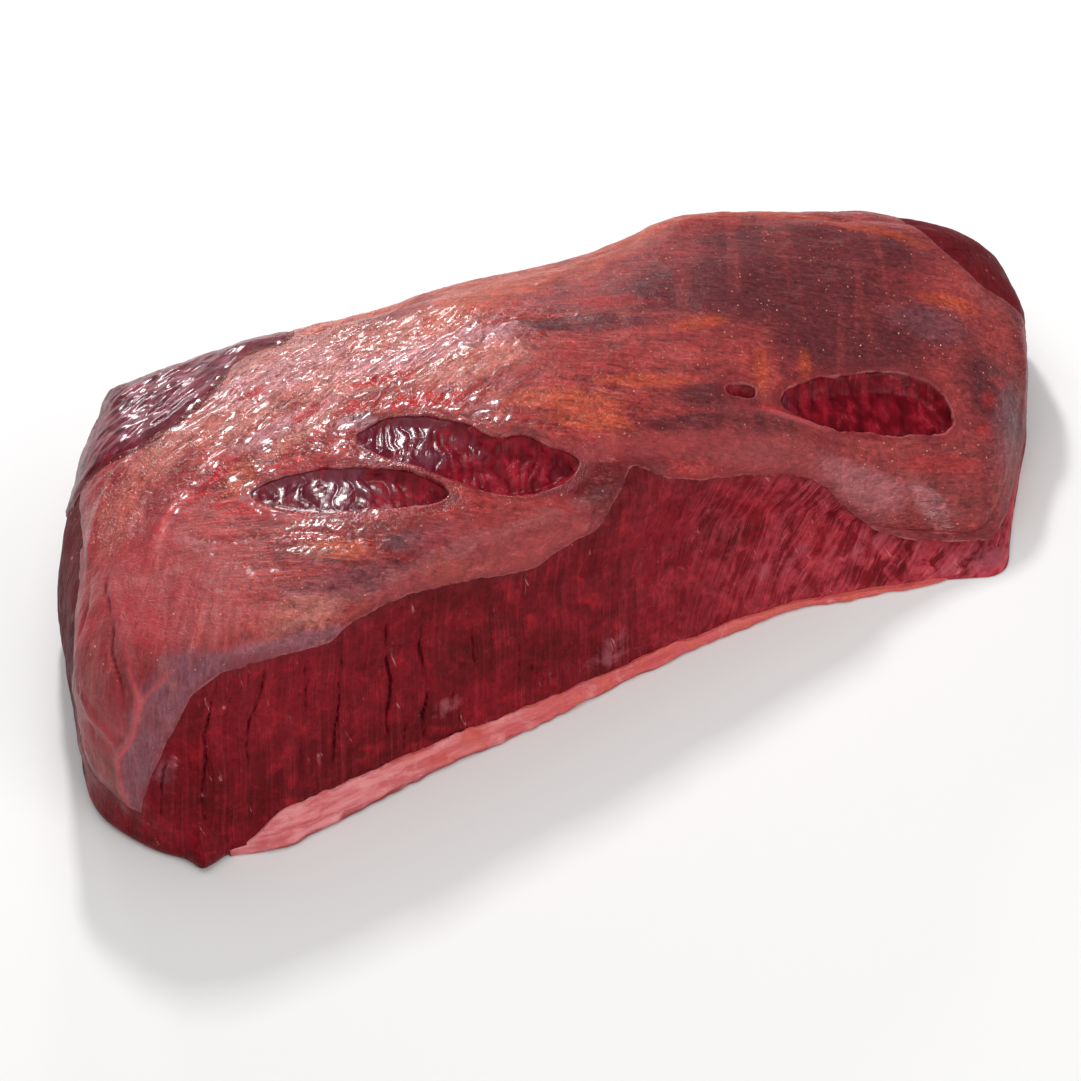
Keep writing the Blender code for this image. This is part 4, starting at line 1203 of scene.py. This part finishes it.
def membraneMaterial():
    material, maker, shader = newMaterial("wetMembrane", specular=0.2)
    place = maker.place()
    x, y, z = maker.split(place)
    hole = maker.field("hole")
    nearHole = maker.ease(hole, 8.0, 2.0)
    turned = []
    for label, turn in grains:
        c, s = math.cos(math.radians(turn)), math.sin(math.radians(turn))
        turned.append((label, x * c + y * s, y * c - x * s))

    def lay(along, across, detail=3.0, distortion=0.5):
        # streaks that follow the grain of each part of the sheet, and wrap round the windows
        total = 0.0
        for label, ahead, aside in turned:
            rise = along * 0.8 if label == "layEnd" else across
            grid = maker.gather(ahead * along, aside * across, z * rise)
            total = total + maker.noise(grid, 1.0, detail, 0.6, distortion) * maker.field(label)
        rings = maker.gather(hole * (across * mm), x * along, y * along)
        return total * (1 - nearHole) + maker.noise(rings, 1.0, detail, 0.6, distortion) * nearHole

    grain, fine, strand = lay(50, 380, 4.0), lay(230, 1000), lay(26, 150, 3.0, 1.0)
    crumple, soft = lay(150, 400, 3.0, 1.4), lay(120, 260, 1.0, 0.6)
    broad = maker.noise(place, 26.0, 3.0, 0.6, 0.3)
    mottle = maker.noise(place, 95.0, 4.0, 0.6, 0.5)
    speck = maker.noise(place, 480.0, 3.0, 0.65, 0.6)
    wet, smooth, film = maker.field("wet"), maker.field("smooth"), maker.field("film")
    end = maker.field("layEnd")

    def mask(label, low=0.25, high=0.8, spread=0.5):
        return maker.ease(maker.field(label) + (mottle - 0.5) * spread + (crumple - 0.5) * 0.45, low, high)

    bars = maker.noise(maker.turned(x, y, z * 0, 65, 9.0, 85.0), 1.0, 2.0, 0.5, 0.3)
    blush = maker.noise(place, 55.0, 3.0, 0.55, 0.6)
    right = maker.ease(x, -0.03, 0.05)
    orange = mask("orange")
    colour = maker.tinted(
        maker.blend(maker.ease(broad, 0.36, 0.64), rgb(126, 36, 38), rgb(152, 52, 50)),
        (maker.ease(mottle, 0.42, 0.66) * 0.5, 168, 56, 52),
        (maker.ease(strand, 0.5, 0.34) * 0.4, 112, 16, 26),
        (mask("purple", 0.2, 0.7) * 0.95, 76, 14, 24),
        # the flesh shows through the right half as upright bars
        (maker.ease(bars, 0.5, 0.62) * right * 0.42, 140, 48, 50),
        (maker.ease(bars, 0.46, 0.34) * right * 0.3, 78, 10, 22),
        (mask("tan") * 0.8, 182, 104, 94),
        (orange * (0.72 - right * 0.2), 176, 74, 48),
        # lilac: partly the film's pale colour, partly painted sheen
        (mask("lilac") * (0.65 - right * 0.25), 186, 124, 132),
        (mask("red") * (0.9 - right * 0.4), 164, 12, 18),
        (mask("grey", 0.2, 0.9) * 0.55, 112, 66, 76),
        (mask("sheer") * 0.9, 96, 20, 28),
        (mask("smooth", spread=0.3) * 0.75, 152, 58, 60),
        # the waxy left end: pink, with redder clouds
        (end * 0.5, 160, 64, 70),
        (end * maker.ease(blush, 0.46, 0.64) * 0.5, 170, 50, 58),
        (end * maker.ease(blush, 0.46, 0.34) * 0.45, 172, 98, 96),
        (film * (maker.ease(mottle, 0.34, 0.6) * 0.4 + 0.5), 130, 78, 90),
        (right * 0.2 * (1 - orange), 132, 76, 78),  # milky film over the right half
    )
    # streaks with the grain
    quiet = (1 - smooth * 0.55) * (1 - end * 0.5)
    streak = (grain - 0.5) * (1.9 - right * 0.7) + (fine - 0.5) * (1.9 - right * 0.5)
    streak = streak + (speck - 0.5) * (1.8 - right * 0.7) + maker.ease(speck, 0.56, 0.72) * right * 0.45
    # the crumple term paints the light and shade of the crumpled wet film
    shade = 1 + streak * quiet + (crumple - 0.5) * (wet * 1.6 + 0.4) + (mottle - 0.5) * 0.5
    pale = quiet * (1 - right * 0.75)
    creased = maker.ease(wet + maker.field("tan") * 0.5 + nearHole * 0.5, 0.15, 0.7)
    fold = maker.ease(abs(crumple - 0.47), 0.022, 0.002) * creased
    wrinkleShade = maker.ease(abs(strand - 0.52), 0.014, 0.002) * maker.ease(mottle, 0.46, 0.6) * (0.35 + end * 0.65)
    inside = maker.field("inside")
    granules = maker.ease(maker.cells(place, 560.0), 0.42, 0.06)
    fatty = mottle + maker.field("orange") * 0.25 + maker.field("tan") * 0.35 + wet * 0.12
    beads = granules * maker.ease(fatty - smooth * 0.3 - maker.field("purple") * 0.2, 0.52, 0.76)
    colour = maker.tinted(
        maker.scaled(colour, shade),
        (maker.ease(strand + (fine - 0.5) * 0.5, 0.58, 0.72) * pale * 0.35, 198, 118, 104),
        (maker.ease(grain + (fine - 0.5) * 0.6, 0.62, 0.76) * pale * 0.3, 206, 140, 126),
        (fold * 0.55, 96, 12, 22),  # fine folds in the wet film, darkened as painted shade
        # painted shade along thin wrinkles
        (wrinkleShade * 0.6, 104, 12, 24),
        # the thin rim lets the flesh through; the paler line in places at the cut is a painted highlight along the
        # rim
        (maker.ease(inside + (mottle - 0.5) * 3, 5.0, 0.5) * 0.4, 118, 34, 42),
        (maker.ease(inside, 0.8, 0.1) * maker.ease(mottle, 0.42, 0.6) * 0.5, 188, 108, 108),
        (maker.ease(maker.field("ridge"), 0.6, 1.8) * 0.65, 196, 82, 88),
        # painted shade: darker along the creases
        (maker.ease(maker.field("crease"), 0.25, 1.1) * 0.6, 84, 10, 22),
        (beads * 0.25, 226, 158, 128),
    )
    bright = maker.ease(wet + maker.field("tan") * 0.5, 0.1, 0.9)
    rough = maker.ease(mottle, 0.32, 0.68, 0.42, 0.3) - bright * 0.19
    dry = 1 - bright * 0.8
    height = (grain - 0.5) * 0.001 * (1 - smooth * 0.8) * (1 - end * 0.5) * dry
    height = height + (speck - 0.5) * 0.0005 * dry + beads * 0.0002 + (blush - 0.5) * 0.001 * end
    height = height + ((soft - 0.5) * 0.0009 + (speck - 0.5) * 0.0004) * (1 - dry)
    coat = bright * 0.25 + (1 - right) * 0.1
    plug(maker, shader, Base_Color=colour, Roughness=rough, Normal=maker.bump(height), Coat_Weight=coat)
    return material


# small granules of fat on the wet film, in metres, and pale sinews that run with its grain, as shares
scatter = {
    "fatBeads": {"Density": 330000.0, "Smallest": 0.00016, "Largest": 0.00045, "Seed": 3},
    "sinews": {"Density": 26000.0, "Smallest": 0.35, "Largest": 0.8, "Seed": 8},
    "strand": {"Start": (-0.0042, 0, -0.0003), "Middle": (0.0004, 0.0016, 0.0006), "End": (0.0044, 0.0002, -0.0003)},
    "strandRadius": 0.00017,
}


def scatterTree(name, weigh, shape):
    # strews one shape over a mesh: weigh gives where, and shape gives the shape, its turn and its scale
    maker, wires, close = geometryTree(name, ("Density", "Smallest", "Largest", "Seed"))
    density = weigh(maker) * wires["Density"]
    sockets = {"Mesh": wires["Geometry"], "Density": density, "Seed": wires["Seed"]}
    spots = maker.add("GeometryNodeDistributePointsOnFaces", {"distribute_method": "RANDOM"}, sockets)
    turn = Wire(maker, spots.socket.node.outputs["Rotation"])
    size = maker.random(wires["Smallest"], wires["Largest"], wires["Seed"])
    made, turn, scale = shape(maker, wires["Seed"], turn, size)
    sockets = {"Points": spots, "Instance": made, "Rotation": turn, "Scale": scale}
    return close(maker.add("GeometryNodeInstanceOnPoints", sockets=sockets))


def beadTree():
    def weigh(maker):
        wet, tan, orange, smooth = (maker.field(name) for name in ("wet", "tan", "orange", "smooth"))
        fatty = wet * 0.5 + tan * 0.9 + orange * 0.3 - smooth
        return maker.ease(fatty, 0.25, 1.1) + (1 - smooth) * maker.ease(maker.field("inside"), 1.0, 4.0) * 0.06

    def shape(maker, seed, turn, size):
        ball = maker.add("GeometryNodeMeshIcoSphere", sockets={"Radius": 1.0, "Subdivisions": 1})
        return ball, turn, maker.gather(size * maker.random(0.8, 1.8, seed + 1), size, size * 0.55)

    return scatterTree("beads", weigh, shape)


def sinewTree():
    def weigh(maker):
        return maker.ease(maker.field("wet") + maker.field("tan") * 0.4 - maker.field("smooth") * 0.8, 0.3, 1.0)

    def shape(maker, seed, turn, size):
        alongX, alongY = 0.0, 0.0
        for label, degrees in grains:
            alongX = alongX + maker.field(label) * math.cos(math.radians(degrees))
            alongY = alongY + maker.field(label) * math.sin(math.radians(degrees))
        sway = maker.random(-0.35, 0.35, seed + 2)
        along = maker.gather(alongX - alongY * sway, alongY + alongX * sway, 0.0)
        sockets = {"Rotation": turn, "Vector": along}
        turn = maker.add("FunctionNodeAlignRotationToVector", {"axis": "X", "pivot_axis": "Z"}, sockets)
        bow = maker.add("GeometryNodeCurveQuadraticBezier", sockets={"Resolution": 7, **scatter["strand"]})
        sockets = {"Resolution": 5, "Radius": scatter["strandRadius"]}
        ring = maker.add("GeometryNodeCurvePrimitiveCircle", {"mode": "RADIUS"}, sockets)
        sockets = {"Curve": bow, "Profile Curve": ring, "Fill Caps": True}
        strand = maker.add("GeometryNodeCurveToMesh", sockets=sockets)
        flip = maker.random(-1.0, 1.0, seed + 1)
        return strand, turn, maker.gather(size, size * flip, size * 0.5 + 0.5)

    return scatterTree("sinews", weigh, shape)


def scatterMaterial(name, low, high, rough):
    material, maker, shader = newMaterial(name, specular=0.4)
    mottle = maker.noise(maker.place(), 180.0, 2.0, 0.5, 0.4)
    colour = maker.tinted(
        maker.blend(maker.ease(mottle, 0.36, 0.64), low, high),
        (maker.ease(maker.field("red"), 0.2, 0.8) * 0.6, 164, 30, 34),
        (maker.ease(maker.field("orange"), 0.2, 0.8) * 0.5, 190, 88, 56),
    )
    plug(maker, shader, Base_Color=colour, Roughness=maker.ease(mottle, 0.3, 0.7, rough, rough + 0.12))
    return material


stage = {
    "floorSize": 6.0,
    "floorColour": (0.86, 0.86, 0.86, 1.0),
    "floorRoughness": 0.7,
    "world": 0.22,
    # name: place, size, power, colour
    "lamps": {
        "glintLamp": ((0.10, 0.72, 0.86), (0.09, 0.14), 6.5, (1.0, 0.98, 0.98)),
        "topLamp": ((-0.25, 0.1, 1.4), (2.0, 1.6), 11.5, (1.0, 0.99, 0.98)),
        "cornerLamp": ((-0.11, 1.34, 0.27), (0.16, 0.10), 2.0, (1.0, 0.97, 1.0)),
        "backLamp": ((0.29, 1.23, 0.49), (0.16, 0.10), 2.6, (1.0, 0.98, 0.99)),
        "frontLamp": ((0.4, -1.4, 0.75), (1.4, 0.9), 13.0, (1.0, 0.99, 0.98)),
    },
    "aim": (-0.04, 0.0, 0.05),
}


def buildStage():
    size = stage["floorSize"] / 2
    corners = [(-size, -size, 0), (size, -size, 0), (size, size, 0), (-size, size, 0)]
    mesh = bpy.data.meshes.new("floor")
    mesh.from_pydata(corners, [], [(0, 1, 2, 3)])
    material, _, shader = newMaterial("paleFloor")
    shader.inputs["Base Color"].default_value = stage["floorColour"]
    shader.inputs["Roughness"].default_value = stage["floorRoughness"]
    floor = addPiece("floor", mesh, material)
    world = bpy.data.worlds.new("softWorld")
    world.use_nodes = True
    world.node_tree.nodes["Background"].inputs["Color"].default_value = (1, 1, 1, 1)
    world.node_tree.nodes["Background"].inputs["Strength"].default_value = stage["world"]
    bpy.context.scene.world = world
    for name, (place, (width, depth), power, colour) in stage["lamps"].items():
        data = bpy.data.lights.new(name, "AREA")
        data.shape = "RECTANGLE"
        data.size, data.size_y = width, depth
        data.energy, data.color = power, colour
        lamp = bpy.data.objects.new(name, data)
        lamp.location = place
        lamp.rotation_euler = (Vector(stage["aim"]) - Vector(place)).to_track_quat("-Z", "Y").to_euler()
        bpy.context.scene.collection.objects.link(lamp)
    return floor


placeCamera()
bpy.context.scene.view_settings.view_transform = "Standard"
floor = buildStage()
print("camera, light and floor ready")

flesh = leanMaterial()
leanPiece = addPiece("leanMuscle", makeLean(), flesh)
swapMesh(leanPiece, runTree(leanPiece, leanReliefTree(), {**lean["relief"], "Material": flesh}))
print("lean muscle:", len(leanPiece.data.polygons), "faces")

fatPiece = addPiece("fatCap", makeFatCap(), fatMaterial())
print("fat cap:", len(fatPiece.data.polygons), "faces")

plainAbc, plainQuads = boxGrid(np.linspace(-1, 1, 221), np.linspace(-1, 1, 111), np.linspace(-1, 1, 25))
plainPoints = meatPoints(plainAbc)
plainPoints = withOutline(withSwells(plainPoints, surfaceNormals(plainPoints, plainQuads)))
plainTree = BVHTree.FromPolygons(plainPoints.tolist(), plainQuads.tolist())


def heightAt(x, y):
    hit = plainTree.ray_cast(Vector((x, y, 0.3)), Vector((0, 0, -1)))[0]
    return hit.z if hit else 0.0


openPiece = addPiece("openMuscle", makeOpenMuscle(heightAt), openMuscleMaterial())
print("muscle in the windows:", len(openPiece.data.polygons), "faces")

baseMesh, baseFields = makeMembraneBase()
film = membraneMaterial()
membranePiece = addPiece("membraneSheet", baseMesh, film)
wrinkled = runTree(membranePiece, membraneReliefTree(), {**membrane["relief"], "Material": film})
trimmed = trimSheet(wrinkled, list(baseFields), "inside")
trimmed.materials.append(film)
swapMesh(membranePiece, trimmed)
cornerPiece = addPiece("cornerFilm", trimSheet(wrinkled, list(baseFields), "corner"), cornerMaterial())
bpy.data.meshes.remove(wrinkled)
print("membrane:", len(trimmed.polygons), "faces, corner film:", len(cornerPiece.data.polygons), "faces")

scattered = []
for name, tree, material in (
    ("fatBeads", beadTree(), scatterMaterial("fatBeads", rgb(176, 92, 80), rgb(206, 142, 124), 0.16)),
    ("sinews", sinewTree(), scatterMaterial("sinews", rgb(178, 92, 84), rgb(216, 150, 142), 0.26)),
):
    piece = addPiece(name, trimmed.copy(), material)
    swapMesh(piece, runTree(piece, tree, {**scatter[name], "Material": material}))
    scattered.append(piece)
    print(name + ":", len(piece.data.polygons), "faces")

for piece in (leanPiece, openPiece, cornerPiece, fatPiece, membranePiece, *scattered):
    piece.data.shade_smooth()
    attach(piece, "root")
for piece in (leanPiece, openPiece, cornerPiece):
    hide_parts("lean_muscle")
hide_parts("fat_cap")
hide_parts("membrane")

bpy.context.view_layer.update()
